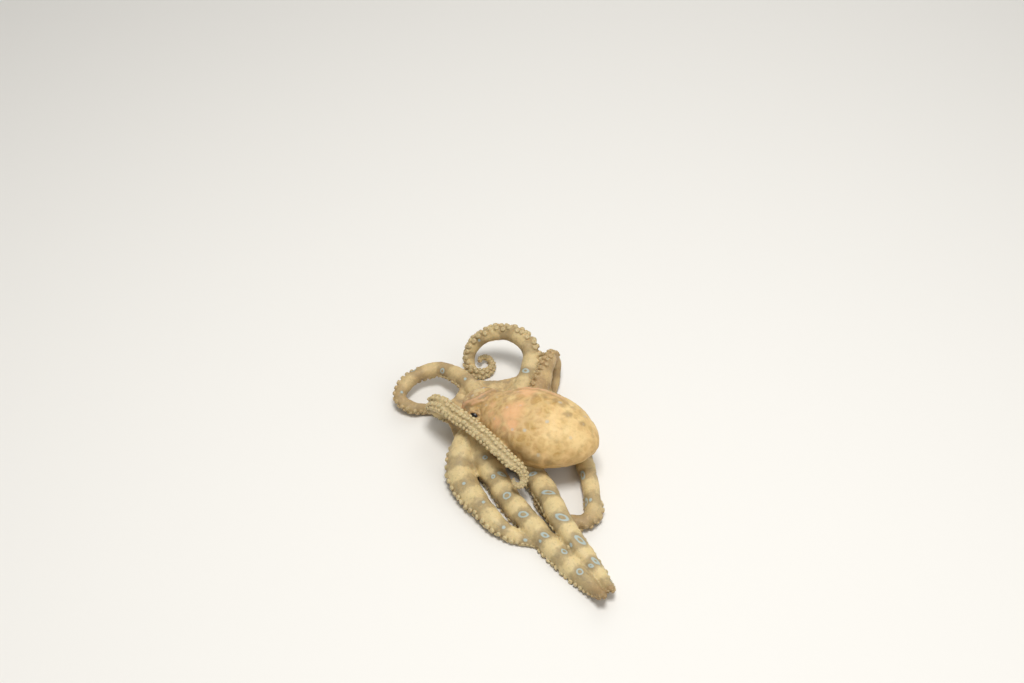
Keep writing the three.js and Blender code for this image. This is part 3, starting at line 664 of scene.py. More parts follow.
def remeshed(mesh, voxel):
    """A closed mesh of even quads over the union of closed shells, finer round the eyes."""
    source = shown(mesh, "shells")
    grid = source.modifiers.new("one_skin", "REMESH")
    grid.mode = "VOXEL"
    grid.voxel_size = voxel
    graph = bpy.context.evaluated_depsgraph_get()
    made = bpy.data.meshes.new_from_object(source.evaluated_get(graph))
    bpy.data.objects.remove(source)
    bpy.data.meshes.remove(mesh)
    finer = bmesh.new()
    finer.from_mesh(made)
    for side in (1, -1):
        centre = on_head(EYE["forward"], side * EYE["sideways"], EYE["up"]) * MM
        near = [edge for edge in finer.edges
                if all((vert.co - centre).length < EYE["mound_radius"] * MM for vert in edge.verts)]
        bmesh.ops.subdivide_edges(finer, edges=near, cuts=2, use_grid_fill=True)
    bmesh.ops.triangulate(finer, faces=[face for face in finer.faces if len(face.verts) > 4])
    finer.to_mesh(made)
    finer.free()
    return made


EDGE_SPREAD = 8  # how many times the edge between two parts of the body is smoothed


class SkinMesh:
    """The skin's points and edges as arrays, and what each point belongs to."""

    def __init__(self, mesh, shells, arms):
        self.mesh = mesh
        count = len(mesh.vertices)
        self.points = np.empty(count * 3)
        mesh.vertices.foreach_get("co", self.points)
        self.points = self.points.reshape(-1, 3)
        self.edges = np.empty(len(mesh.edges) * 2, int)
        mesh.edges.foreach_get("vertices", self.edges)
        self.edges = self.edges.reshape(-1, 2)
        self.neighbours = np.bincount(self.edges.ravel(), minlength=count)
        self.arms = arms
        self.find_owners(shells)

    def find_owners(self, shells):
        """Which shape each point lies on, and where along and round its arm."""
        kinds = ["mantle", "head", "crown", "funnel", "web", *ARMS]
        total = sum(len(shell.verts) for _, shell in shells)
        tree = KDTree(total)
        owners = []
        for name, shell in shells:
            for vert in shell.verts:
                tree.insert(vert.co, len(owners))
                owners.append(kinds.index(name))
        tree.balance()
        nearest = [tree.find(point)[1] for point in self.points]
        self.owner = np.array(owners)[nearest]
        self.kinds = kinds
        count = len(self.points)
        self.distance = np.zeros(count)
        self.degrees = np.zeros(count)
        self.half = np.full(count, BODY_HALF)
        for name, arm in self.arms.items():
            here = self.owner == kinds.index(name)
            samples = arm.centre[::2]
            own = self.points[here]
            guess = np.concatenate([
                arm.walk[::2][np.argmin(((chunk[:, None] - samples) ** 2).sum(2), axis=1)]
                for chunk in np.array_split(own, 1 + len(own) // SEARCH_CHUNK)])
            self.distance[here], self.degrees[here], _ = arm.locate(own, guess)
            self.half[here] = arm.at(self.distance[here], arm.half)
        self.on_arm = self.owner >= kinds.index("arm_left_1")

    def points_of(self, arm):
        """Which of the skin's points are an arm's."""
        return np.flatnonzero(self.owner == self.kinds.index(arm))

    def is_on(self, *names):
        return np.isin(self.owner, [self.kinds.index(name) for name in names])

    def softly_on(self, *names):
        """1 on the named shapes and 0 elsewhere, with a smoothed edge."""
        return self.spread(self.is_on(*names).astype(float), EDGE_SPREAD)

    def spread(self, values, times, share=1.0):
        """Values, or points, averaged with their neighbours along the skin."""
        a, b = self.edges.T
        columns = values.reshape(len(values), -1).astype(float)
        share = np.broadcast_to(share, len(values))[:, None] * 0.5
        for _ in range(times):
            sums = np.stack([
                np.bincount(a, column[b], len(values)) + np.bincount(b, column[a], len(values))
                for column in columns.T], 1)
            columns = columns + (sums / self.neighbours[:, None] - columns) * share
        return columns.reshape(values.shape)

    def normals(self):
        self.write_points()
        flat = np.empty(len(self.points) * 3)
        self.mesh.vertices.foreach_get("normal", flat)
        return flat.reshape(-1, 3)

    def write_points(self):
        self.mesh.vertices.foreach_set("co", self.points.ravel())
        self.mesh.update()

    def store(self, name, values):
        attribute = self.mesh.attributes.new(name, "FLOAT", "POINT")
        attribute.data.foreach_set("value", values.astype(np.float32))


PATTERN_STEP = 17.3  # how far apart in the noise two patterns are


def noise_at(points, lump, pattern):
    """Smooth noise from -1 to 1 whose lumps are about one size, in millimetres, across."""
    spots = points / (lump * MM) + pattern * PATTERN_STEP
    return np.array([noise.noise(spot) for spot in spots])


TIP_ROOM = 0.8 * MM  # no sucker sits nearer the tip than this
UNEVEN_SIZE = 0.2  # how uneven the suckers' sizes are, as a share
UNEVEN_DEGREES = 9  # how uneven the rows are
UNEVEN_STEP = 3.7  # how far apart in the noise two suckers are
ROWS_CHANGE = (0.6, 0.7)  # between these shares of the length the arm's "rows" go from first to last
INNER_BY = 30  # how many degrees nearer the middle of the underside every other pair sits
INNERMOST = 162  # the nearest to that middle that any sucker sits, in degrees from the back


def sucker_places(arm):
    """Where the suckers sit, as (distance, degrees, diameter): two rows, each an uneven zigzag."""
    settings = bpy.context.scene.octopus_suckers
    places = []
    distance = settings.first_at
    side = 1
    while distance < arm.length - TIP_ROOM:
        width = float(np.interp(distance, arm.walk, arm.width))
        uneven = noise.noise(arm.centre[0] / MM + len(places) * UNEVEN_STEP)
        diameter = min(settings.share_of_width * width, settings.largest) * arm.spec["sucker_size"]
        diameter *= 1 + UNEVEN_SIZE * uneven
        row = np.interp(distance / arm.length, ROWS_CHANGE, arm.spec["rows"])
        row = min(row + (0, INNER_BY)[len(places) // 2 % 2], INNERMOST)
        places.append((distance, side * (float(row) + UNEVEN_DEGREES * uneven), diameter))
        distance += diameter * settings.spacing
        side = -side
    return places


def line_distance(points, line):
    """The distance from points to a line of straight stretches, and how far along it each one is."""
    best = np.full(len(points), np.inf)
    share = np.zeros(len(points))
    for i, (a, b) in enumerate(zip(line[:-1], line[1:])):
        along = np.clip(((points - a) @ (b - a)) / max((b - a) @ (b - a), 1e-12), 0, 1)
        far = np.linalg.norm(points - a - along[:, None] * (b - a), axis=1)
        share = np.where(far < best, (i + along) / (len(line) - 1), share)
        best = np.minimum(best, far)
    return best, share


def both_sides(point):
    """A point of the body in metres, and if it lies well to the left, its mirror image on the right."""
    middle, turn, _, _ = mantle_axes()
    point = np.array(point, float) * MM
    to_right = (point - middle) @ turn[0]
    return [point, point - 2 * to_right * turn[0]] if to_right < -OTHER_SIDE_FROM * MM else [point]


def marked(skin, kind):
    """How strongly each point of the body bears one kind of marking, from 0 to 1."""
    total = np.zeros(len(skin.points))
    for centre, radius, strength in MARKINGS[kind]:
        for place in both_sides(centre):
            far = np.linalg.norm(skin.points - place, axis=1) / (radius * MM)
            total = np.maximum(total, strength * np.exp(-(far**2)))
    return total * ~skin.on_arm


FOLD_NARROWS_BY = 0.3  # share of a fold's length in which it takes its second half width
FOLD_FADES = ((0, 0.08, 0.8, 1), (0.5, 1, 0.9, 0))  # shares of a fold's length, and its height at each


def fold_rise(skin):
    """The folds' cross-section at each point, from 0 to 1 on the crest."""
    rise = np.zeros(len(skin.points))
    for start, end, line in FOLDS:
        crest = [skin.points[np.argmin(((skin.points - point) ** 2).sum(1))]
                 for point in centripetal(line, 4) * MM]
        far, share = line_distance(skin.points, crest)
        reach = np.interp(share, (0, FOLD_NARROWS_BY, 1), (start, end, end)) * MM
        fade = np.interp(share, *FOLD_FADES)
        rise = np.maximum(rise, np.exp(-((far / reach) ** 2)) * fade)
    return rise * ~skin.on_arm


PAD_REACH = 0.5  # how far a sucker's pad spreads, in diameters
# Sizes of the relief's lumps in millimetres, and how the wrinkles' pattern is stretched
LUMP_SIZE = 5
WRINKLE_SIZE = 2.2
GRAIN_SIZE = 0.9
WRINKLE_STRETCH = (1, 1, 0.6)
# How many times the folds are smoothed, and by how much they are raised again after it
FOLD_SMOOTHED = 5
FOLD_STEEPENED = 1.25
# The half width from which an arm has the full relief, and the least share of it at the tips
FULL_RELIEF_FROM = 3 * MM
LEAST_RELIEF = 0.25


def raise_relief(skin):
    """Pads under the suckers, swollen pale bands, lumps, wrinkles, grains and the folds of the body."""
    settings = bpy.context.scene.octopus_skin
    height = np.zeros(len(skin.points))
    skin.gap = np.zeros(len(skin.points))
    for name, arm in skin.arms.items():
        here = skin.points_of(name)
        pads = np.zeros(len(here))
        on_pad = np.zeros(len(here))
        for distance, degrees, diameter in sucker_places(arm):
            along = skin.distance[here] - distance
            turn = (skin.degrees[here] - degrees + 180) % 360 - 180
            round_arm = np.radians(turn) * skin.half[here]
            pad = np.exp(-(along**2 + round_arm**2) / (PAD_REACH * diameter) ** 2)
            pads = np.maximum(pads, pad * diameter)
            on_pad = np.maximum(on_pad, pad)
        # Painted shade in the gaps between the suckers, where no pad is
        skin.gap[here] = arm.spec["brown"][2] * (1 - on_pad)
        height[here] += pads * settings.pad_height
        height[here] += settings.band_swell * (2 * paleness(arm, skin.distance[here]) - 1)
    body = skin.softly_on("mantle", "head")
    wrinkles = noise_at(skin.points * WRINKLE_STRETCH, WRINKLE_SIZE, 2)
    height += settings.lump_height * noise_at(skin.points, LUMP_SIZE, 1) * body
    height += settings.wart_height * marked(skin, "brown")
    height += settings.wrinkle_height * wrinkles
    height += settings.grain_height * noise_at(skin.points, GRAIN_SIZE, 3)
    skin.fold = np.minimum(FOLD_STEEPENED * skin.spread(fold_rise(skin), FOLD_SMOOTHED), 1)
    height += settings.fold_height * skin.fold
    reach = np.clip(skin.half / FULL_RELIEF_FROM, LEAST_RELIEF, 1)
    skin.points += skin.normals() * (height * reach)[:, None]


def eye_axes(side):
    """The eye's centre and the directions along its slit, across it and out of it, which tilts upwards."""
    ahead, left, upward = head_axes()
    tilt = Matrix.Rotation(math.radians(EYE["tilt"]) * side, 3, ahead)
    centre = on_head(EYE["forward"], side * EYE["sideways"], EYE["up"]) * MM
    return centre, Matrix((ahead, tilt @ upward, tilt @ (left * side)))


SUNK_UNDER = 0.5 * MM  # how deep the skin lies under the front of an eyeball
# In half lengths of the opening: where the skin comes up over the ball, and the lid's middle and breadth
OPENING_EDGE = (0.85, 1.15)
LID = (1.3, 0.35)
BEHIND_EYE = 9  # stands for a point behind the eyeball's middle


def open_eyes(skin):
    """Sinks the skin under each eyeball's front, covers the rest of the ball and raises a lid."""
    settings = bpy.context.scene.octopus_eyes
    for side in (1, -1):
        centre, turn = eye_axes(side)
        centre = np.array(centre)
        turn = np.array(turn)
        local = (skin.points - centre) @ turn.T
        far = np.linalg.norm(local, axis=1)
        on_ball = local / far[:, None] * settings.radius
        across = on_ball[:, 0] / settings.opening_length
        rise = on_ball[:, 1] / settings.opening_height
        oval = np.where(local[:, 2] > 0, np.hypot(across, rise) * 2, BEHIND_EYE)
        near = (far < 2 * settings.radius) & skin.is_on("head")
        lid = settings.lid_height * np.exp(-(((oval - LID[0]) / LID[1]) ** 2))
        covered = np.maximum(far, settings.radius + settings.cover + lid)
        sunk = settings.radius - SUNK_UNDER
        wanted = sunk + (covered - sunk) * smooth_step(*OPENING_EDGE, oval)
        skin.points[near] = centre + (local * (wanted / far)[:, None])[near] @ turn


# ---- Markings

# The wave of the bands, 0 at the middle of the first grey one, has this value this far before it
FIRST_PHASE = -0.32
BEFORE_FIRST_BAND = 3 * MM
BROWN_COMES_IN = 0.15  # share of an arm's length over which its tip turns brown
RING_BY_RULE = (1, 0.9)  # radius across and along of a ring that isn't listed
# How far from a listed ring, in millimetres along and degrees round, one is placed by rule, and how far
# round from the arm's back it may lie
RING_APART = (3, 60)
RING_FURTHEST = 90
# Degrees from an arm's back between which the pale bands fade, the suckers' side begins, and the painted
# shade in the gaps between the suckers begins
BAND_FADES = (95, 135)
ORAL_BEGINS = (125, 150)
GAP_SHADE_BEGINS = (95, 120)
BAND_FADES_BY = 0.45  # how much paleness a band loses there
SMALL_RING_CORE = -0.1  # a small ring's inside counts as this near its line, so that it stays filled
# A spot's outline, in millimetres: how far its edge is drawn in, where the faintest one's centre would
# lie outside it, and how much nearer the strongest one's lies
SPOT_EDGE = 0.3
SPOT_FAINTEST = 0.42
SPOT_GAIN = 0.32
# The mantle is painted darker from these heights down, as painted shade on its underside
SHADED_UNDERSIDE = (-0.1, -0.8)  # heights on the mantle, in half heights, between which its underside comes in


def paleness(arm, distance):
    """1 at the middle of each pale band and 0 at the grey ones, the tip being grey."""
    middles = np.array(arm.spec["bands"], float) * MM
    places = [middles[0] - BEFORE_FIRST_BAND, *middles]
    phase = np.interp(distance, places, [FIRST_PHASE, *range(len(middles))])
    return 0.5 - 0.5 * np.cos(phase * math.tau)


def brown_tip(arm, distance):
    """How brown the arm is towards its tip."""
    start, most, _ = arm.spec["brown"]
    return most * smooth_step(start, start + BROWN_COMES_IN, distance / arm.length)


def arm_rings(arm):
    """The arm's listed rings, and one on the side away from the viewer in each grey band."""
    rings = list(arm.spec["rings"])
    for middle in arm.spec["bands"]:
        along = np.array([middle * MM])
        up = arm.at(along, arm.away)[0] @ AWAY_FROM_VIEWER
        across = arm.at(along, arm.side)[0] @ AWAY_FROM_VIEWER
        hidden = math.degrees(math.atan2(across, up))
        hidden = min(max(hidden, -RING_FURTHEST), RING_FURTHEST)
        if all(abs(at - middle) > RING_APART[0] or abs(turn - hidden) > RING_APART[1]
               for at, turn, *_ in rings):
            rings.append((middle, hidden, *RING_BY_RULE))
    return rings


def ring_outlines(skin):
    """How far outside the nearest ring's line each point is, in millimetres, less than 0 within it."""
    nearest = np.full(len(skin.points), float(EVERYWHERE_ELSE))
    for name, arm in skin.arms.items():
        here = skin.points_of(name)
        distance, degrees, half = skin.distance[here], skin.degrees[here], skin.half[here]
        for at, where, across, along, *lean in arm_rings(arm):
            offset = np.radians((degrees - where + 180) % 360 - 180) * half / MM
            onwards = distance / MM - at
            turn = math.radians(lean[0] if lean else 0)
            oval = np.hypot((onwards * math.cos(turn) - offset * math.sin(turn)) / along,
                            (offset * math.cos(turn) + onwards * math.sin(turn)) / across)
            outside = (oval - 1) * min(across, along)
            if across < SMALL_RING:
                outside = np.maximum(outside, SMALL_RING_CORE)
            nearest[here] = np.minimum(nearest[here], outside)
    return nearest


def spot_outlines(skin):
    """The same for the body's plain spots, the fainter ones never reaching 0."""
    nearest = np.full(len(skin.points), float(EVERYWHERE_ELSE))
    for centre, radius, strength in MARKINGS["spot"]:
        for place in both_sides(centre):
            far = np.linalg.norm(skin.points - place, axis=1) / MM - radius + SPOT_EDGE
            nearest = np.minimum(nearest, np.maximum(far, SPOT_FAINTEST - SPOT_GAIN * strength))
    return np.where(skin.on_arm, EVERYWHERE_ELSE, nearest)


def mark(skin):
    """Writes what the skin's material reads: bands, rings, patches and what part of the body it is."""
    count = len(skin.points)
    pale, oral, gap, tip, tan = np.zeros((5, count))
    for name, arm in skin.arms.items():
        here = skin.points_of(name)
        distance = skin.distance[here]
        turn = np.abs(skin.degrees[here])
        pale[here] = paleness(arm, distance) - BAND_FADES_BY * smooth_step(*BAND_FADES, turn)
        oral[here] = smooth_step(*ORAL_BEGINS, turn)
        gap[here] = smooth_step(*GAP_SHADE_BEGINS, turn) * skin.gap[here]
        tip[here] = brown_tip(arm, distance)
        tan[here] = arm.spec["tan"]
    middle, turn, front, hind = mantle_axes()
    local = (skin.points - middle) @ turn.T
    mantle = skin.softly_on("mantle")
    low = smooth_step(*SHADED_UNDERSIDE, local[:, 2] / (MANTLE["height"] / 2 * MM))
    attributes = {
        "mantle": mantle,
        "hind": mantle * smooth_step(-front, hind, local[:, 1]),
        "low": mantle * low,
        "head": skin.softly_on("head"),
        "web": skin.spread(skin.is_on("web", "crown", "funnel").astype(float), 6),
        "arm": skin.spread(skin.on_arm.astype(float), EDGE_SPREAD),
        "tan": skin.spread(tan, EDGE_SPREAD),
        "pale": skin.spread(pale, 1),
        "oral": skin.spread(oral, 2),
        "gap": gap,
        "tip": tip,
        "fold": skin.fold,
        "ring": ring_outlines(skin),
        "spot": spot_outlines(skin),
    }
    for kind in ("pink", "olive", "brown", "bright"):
        attributes[kind] = marked(skin, kind)
    for name, values in attributes.items():
        skin.store(name, values)


# ---- Materials


# Settings that several nodes share
SMOOTHLY = {"interpolation_type": "SMOOTHSTEP"}
OF_COLOURS = {"data_type": "RGBA"}
# Noises as (size of the lumps in millimetres, detail, roughness)
NOISES = {
    "broad": (5, 3, 0.55), "patchy": (2.6, 4, 0.55), "fine": (0.8, 5, 0.65), "grain": (0.35, 4, 0.6),
}
# The coats of paint on the skin, each over those before it: where it goes, what makes its edge uneven
# and by how much, the values between which it comes in, how strong it is, and its colour
COATS = [
    ("hind", "patchy", 0.4, 0.15, 0.7, 1, "mantle"),
    # Painted shade: the mantle darker towards its underside
    ("low", "broad", 0.6, 0.2, 0.9, 0.85, "low"),
    # Pale patches, partly painted light on the mantle's rear
    ("bright", "patchy", 0.6, 0.15, 0.85, 0.85, "bright"),
    ("mantle", "broad", 1.8, 0.85, 1.3, 0.6, "olive"),
    ("olive", "patchy", 1, 0.1, 0.9, 0.75, "olive"),
    ("mantle", "patchy", 2.2, 1, 1.5, 0.4, "low"),
    ("mantle", "fine", 2.2, 1, 1.5, 0.3, "low"),
    ("mantle", "fine", -2.2, 1, 1.5, 0.3, "bright"),
    ("mantle", "veins", 1, 0.6, 1.45, 0.35, "bright"),
    ("pink", "patchy", 0.6, 0.1, 0.8, 0.85, "pink"),
    # Brown lumps, and painted shade beside the first left arm
    ("brown", "patchy", 1.4, 0.05, 1, 0.6, "brown"),
    ("head", "patchy", 2.8, 0.9, 1.4, 0.65, "grey_dark"),
    ("head", "patchy", -2.8, 1, 1.45, 0.65, "cream"),
    # Painted shade along both edges of each fold, where the ridge shades the skin
    ("fold", "fine", 0.3, 0.05, 0.3, 0.4, "brown"),
    ("fold", "fine", 0.4, 0.35, 0.85, 0.65, "fold"),
    ("web", "patchy", 0.3, 0.3, 0.7, 1, "web"),
    ("web", "patchy", 2.6, 0.9, 1.4, 0.65, "grey_dark"),
    ("web", "patchy", -2.6, 0.95, 1.45, 0.7, "cream"),
    ("arm", "fine", 0.2, 0.35, 0.65, 1, "grey"),
    ("arm", "patchy", 2.6, 1, 1.5, 0.65, "grey_dark"),
    ("pale", "patchy", 1.8, 0.15, 0.85, 0.95, "cream"),
    ("oral", "fine", 0.6, 0.3, 0.8, 0.75, "sucker_side"),
    # Painted shade in the gaps between the suckers, in the tips' colour
    ("gap", "fine", 0.6, 0.1, 0.8, 0.8, "tip"),
    ("tip", "patchy", 0.4, 0.2, 0.9, 0.85, "tip"),
    # Browner arms: partly their own tone, partly painted shade on the arms that lie in shadow
    ("tan", "broad", 0.3, 0, 1, 0.75, "tan"),
    ("arm", "fine", 2, 1.05, 1.5, 0.5, "grey_dark"),
    ("arm", "fine", -2, 1.05, 1.5, 0.4, "bright"),
    ("arm", "specks", 1, 0.95, 1.4, 0.2, "speck"),
    ("mantle", "specks", 1, 1.05, 1.4, 0.12, "speck"),
    # Painted shade in the suckers' hollows, darker the deeper
    ("cup", "fine", 0.2, 0.2, 1.2, 0.25, "grey_dark"),
    ("ring", "fine", 0.5, 1.2, 0.3, 0.4, "ring_surround"),
    ("ring", "fine", 0.3, 0.4, 0.12, 0.8, "ring"),
    ("spot", "fine", 0.3, 0.5, 0.05, 0.7, "spot"),
]


def empty_material(name):
    """A new material, its node tree, and the place on the object that its patterns follow."""
    material = bpy.data.materials.new(name)
    material.use_nodes = True
    tree = material.node_tree
    tree.nodes.clear()
    return material, tree, add_node(tree, "TexCoord").outputs["Object"]


def skin_material():
    """Silicone rubber, cast and painted as wet octopus skin: soft gleam, light seeping in a little."""
    colours = bpy.context.scene.octopus_colours
    material, tree, place = empty_material("painted_silicone_skin")
    uneven = {
        name: add_node(tree, "TexNoise", None, {
            "Vector": place, "Scale": 1 / (size * MM), "Detail": detail, "Roughness": roughness,
        }).outputs["Fac"]
        for name, (size, detail, roughness) in NOISES.items()
    }
    # The mantle's net of pale veins, and the smallest pigment cells, drawn coarser than in life to show
    drift = add_node(tree, "TexNoise", None, {"Vector": place, "Scale": 1 / (5 * MM), "Detail": 3})
    bent = add_node(tree, "VectorMath", {"operation": "MULTIPLY_ADD"}, {
        "Vector": drift.outputs["Color"], "Vector_001": [5 * MM] * 3, "Vector_002": place})
    net = add_node(tree, "TexVoronoi", {"feature": "DISTANCE_TO_EDGE"}, {
        "Vector": bent.outputs["Vector"], "Scale": 1 / (3.4 * MM)})
    uneven["veins"] = add_node(tree, "MapRange", SMOOTHLY, {
        "Value": net.outputs["Distance"], "From Min": 0.3, "From Max": 0.0}).outputs[0]
    cells = add_node(tree, "TexVoronoi", None, {"Vector": place, "Scale": 1 / (0.5 * MM)})
    uneven["specks"] = add_node(tree, "MapRange", SMOOTHLY, {
        "Value": cells.outputs["Distance"], "From Min": 0.32, "From Max": 0.1}).outputs[0]
    whole = linear(colours.head)
    for where, edge, unevenness, start, full, strength, colour in COATS:
        mask = add_node(tree, "Attribute", {"attribute_name": where}).outputs["Fac"]
        if where == "ring":
            mask = add_node(tree, "Math", {"operation": "ABSOLUTE"}, {"Value": mask}).outputs[0]
        shift = add_node(tree, "Math", {"operation": "MULTIPLY_ADD"}, {
            "Value": uneven[edge], "Value_001": unevenness, "Value_002": -unevenness / 2})
        moved_mask = add_node(tree, "Math", {"operation": "ADD"}, {
            "Value": mask, "Value_001": shift.outputs[0]})
        amount = add_node(tree, "MapRange", SMOOTHLY, {
            "Value": moved_mask.outputs[0], "From Min": start, "From Max": full, "To Max": strength})
        paint = linear(getattr(colours, colour))
        whole = add_node(tree, "Mix", OF_COLOURS, {
            "Factor_Float": amount.outputs[0], "A_Color": whole, "B_Color": paint,
        }).outputs["Result"]
    rough = add_node(tree, "MapRange", None, {
        "Value": uneven["fine"], "From Min": 0.3, "From Max": 0.7, "To Min": 0.45, "To Max": 0.65})
    bump = add_node(tree, "Bump", None, {
        "Height": uneven["fine"], "Strength": 0.45, "Distance": 0.12 * MM})
    grain = add_node(tree, "Bump", None, {
        "Height": uneven["grain"], "Strength": 0.3, "Distance": 0.06 * MM,
        "Normal": bump.outputs["Normal"]})
    shader = add_node(tree, "BsdfPrincipled", None, {
        "Base Color": whole, "Roughness": rough.outputs[0], "IOR": 1.38,
        "Normal": grain.outputs["Normal"],
        "Subsurface Weight": 0.2, "Subsurface Radius": (1.0, 0.55, 0.3), "Subsurface Scale": 0.9 * MM,
    })
    add_node(tree, "OutputMaterial", None, {"Surface": shader.outputs["BSDF"]})
    return material


def eye_material():
    """Clear acrylic over a painted iris: a black level slit in a flecked brown ring, soft gloss."""
    colours = bpy.context.scene.octopus_colours
    material, tree, place = empty_material("painted_acrylic_eye")
    slit = add_node(tree, "Attribute", {"attribute_name": "slit"}).outputs["Fac"]
    flecks = add_node(tree, "TexNoise", None, {"Vector": place, "Scale": 1 / (0.3 * MM)})
    fleck_share = add_node(tree, "MapRange", None,
                           {"Value": flecks.outputs["Fac"], "From Min": 0.4, "From Max": 0.6})
    iris = add_node(tree, "Mix", OF_COLOURS, {
        "Factor_Float": fleck_share.outputs[0], "A_Color": linear(colours.iris),
        "B_Color": linear(colours.iris_fleck)})
    edge = add_node(tree, "MapRange", SMOOTHLY, {"Value": slit, "From Min": 0.9, "From Max": 1.15})
    whole = add_node(tree, "Mix", OF_COLOURS, {
        "Factor_Float": edge.outputs[0], "A_Color": linear(colours.pupil),
        "B_Color": iris.outputs["Result"]})
    shader = add_node(tree, "BsdfPrincipled", None, {
        "Base Color": whole.outputs["Result"], "Roughness": 0.4, "IOR": 1.4, "Coat Weight": 0.3,
        "Coat Roughness": 0.08})
    add_node(tree, "OutputMaterial", None, {"Surface": shader.outputs["BSDF"]})
    return material


def floor_material():
    """Matt painted board: pale, with the faintest unevenness."""
    stage = bpy.context.scene.octopus_stage
    material, tree, place = empty_material("matt_painted_board")
    mottle = add_node(tree, "TexNoise", None, {"Vector": place, "Scale": 1 / (25 * MM), "Detail": 4})
    rough = add_node(tree, "MapRange", None,
                     {"Value": mottle.outputs["Fac"], "To Min": 0.75, "To Max": 0.9})
    shader = add_node(tree, "BsdfPrincipled", None, {
        "Base Color": linear(stage.floor_colour), "Roughness": rough.outputs[0], "IOR": 1.45})
    add_node(tree, "OutputMaterial", None, {"Surface": shader.outputs["BSDF"]})
    return material


# ---- Settings


def number(name, description, default, **kind):
    return bpy.props.FloatProperty(name=name, description=description, default=default, **kind)


def size(name, description, default):
    return number(name, description, default, unit="LENGTH", precision=5)


def factor(name, description, default):
    return number(name, description, default, subtype="FACTOR")


def hex_colour(name, description, default):
    return bpy.props.StringProperty(name=name, description=description, default=default)


class OCTOPUS_PG_skin(bpy.types.PropertyGroup):
    """Sizes of the skin's relief."""

    voxel: size("Skin mesh", "Size of the even mesh that joins the body", 0.45 * MM)
    contact_gap: size("Contact gap", "Room kept where an arm lies against other flesh", 0.62 * MM)
    pad_height: factor("Sucker pads", "How far the skin rises at a sucker, in its diameters", 0.55)
    band_swell: size("Band swelling", "How far the pale bands stand out over the grey ones", 0.1 * MM)
    lump_height: size("Lumps", "Height of the mantle's low lumps", 0.3 * MM)
    wart_height: size("Warts", "Height of the brown lumps along the mantle", 0.35 * MM)
    wrinkle_height: size("Wrinkles", "Height of the wrinkles", 0.2 * MM)
    grain_height: size("Grains", "Height of the fine grains", 0.11 * MM)
    fold_height: size("Folds", "Height of the folds along the head and mantle", 0.85 * MM)


class OCTOPUS_PG_suckers(bpy.types.PropertyGroup):
    """Sizes and places of the suckers."""

    first_at: size("First sucker", "Distance of the first sucker along the arm's centreline", 7 * MM)
    share_of_width: factor("Size", "A sucker's diameter as a share of the arm's width", 0.28)
    largest: size("Largest", "Diameter of the largest suckers", 1.45 * MM)
    spacing: factor("Spacing", "Step from a sucker to the next, on the other side, in diameters", 0.31)
    sunk: factor("Sunk", "How deep a sucker sits in the skin, as a share of its diameter", 0.3)
    rim_steps: bpy.props.IntProperty(name="Steps", description="Steps round a sucker's rim", default=9)


class OCTOPUS_PG_eyes(bpy.types.PropertyGroup):
    """Sizes of the eyes and their lids."""

    radius: size("Eyeball", "Radius of the eyeball", 1.9 * MM)
    cover: size("Cover", "Thickness of the skin over the eyeball", 0.3 * MM)
    opening_length: size("Opening length", "Length of the opening between the lids", 2.9 * MM)
    opening_height: size("Opening height", "Height of the opening between the lids", 1.45 * MM)
    lid_height: size("Lid", "How far the lids stand over the skin round them", 0.2 * MM)
    slit_length: size("Pupil length", "Length of the level slit", 2.3 * MM)
    slit_height: size("Pupil height", "Height of the level slit", 1.1 * MM)


class OCTOPUS_PG_colours(bpy.types.PropertyGroup):
    """Colours of the paint, as sRGB hex values."""

    cream: hex_colour("Cream", "Pale bands", "#dac491")
    grey: hex_colour("Grey", "Grey bands and the arms' sides", "#b19c72")
    grey_dark: hex_colour("Dark grey", "The darkest of the bands", "#8a7b60")
    sucker_side: hex_colour("Sucker side", "Skin between the suckers", "#cbb98d")
    # Also the colour of the painted shade between the suckers
    tip: hex_colour("Tips", "Tips of the arms", "#9b8059")
    # Browner arms, and the painted shade of the arms that lie in shadow
    tan: hex_colour("Tan", "Browner arms and stretches", "#a07c50")
    head: hex_colour("Head", "Head and neck", "#b99768")
    mantle: hex_colour("Mantle", "Rear of the mantle", "#dab57c")
    # Pale stretches and veins, and the painted light on the mantle's rear
    bright: hex_colour("Bright mantle", "Palest stretches and veins of the mantle", "#e7c98f")
    # Painted shade of the mantle's underside, also used for its darker mottling
    low: hex_colour("Underside", "Lower part of the mantle", "#b48f58")
    pink: hex_colour("Pink", "Flush of the mantle's front", "#e6b382")
    olive: hex_colour("Olive", "Patches of the mantle", "#bb9656")
    # Also the painted shade beside the first left arm and along the folds' edges
    brown: hex_colour("Brown", "Lumps along the top of the mantle", "#8f744c")
    fold: hex_colour("Folds", "Crests of the folds along the head and mantle", "#dfb088")
    web: hex_colour("Web", "Web between the arms", "#b99e70")
    speck: hex_colour("Specks", "Smallest pigment cells", "#84664a")
    ring: hex_colour("Rings", "Blue rings", "#adbfbe")
    spot: hex_colour("Spots", "Spots of the mantle and head", "#b7b6ae")
    ring_surround: hex_colour("Ring surround", "Skin close round a ring", "#8a7a5c")
    iris: hex_colour("Iris", "Iris", "#5d4c34")
    iris_fleck: hex_colour("Iris flecks", "Flecks of the iris", "#2f261d")
    pupil: hex_colour("Pupil", "Pupil", "#0d0b0a")


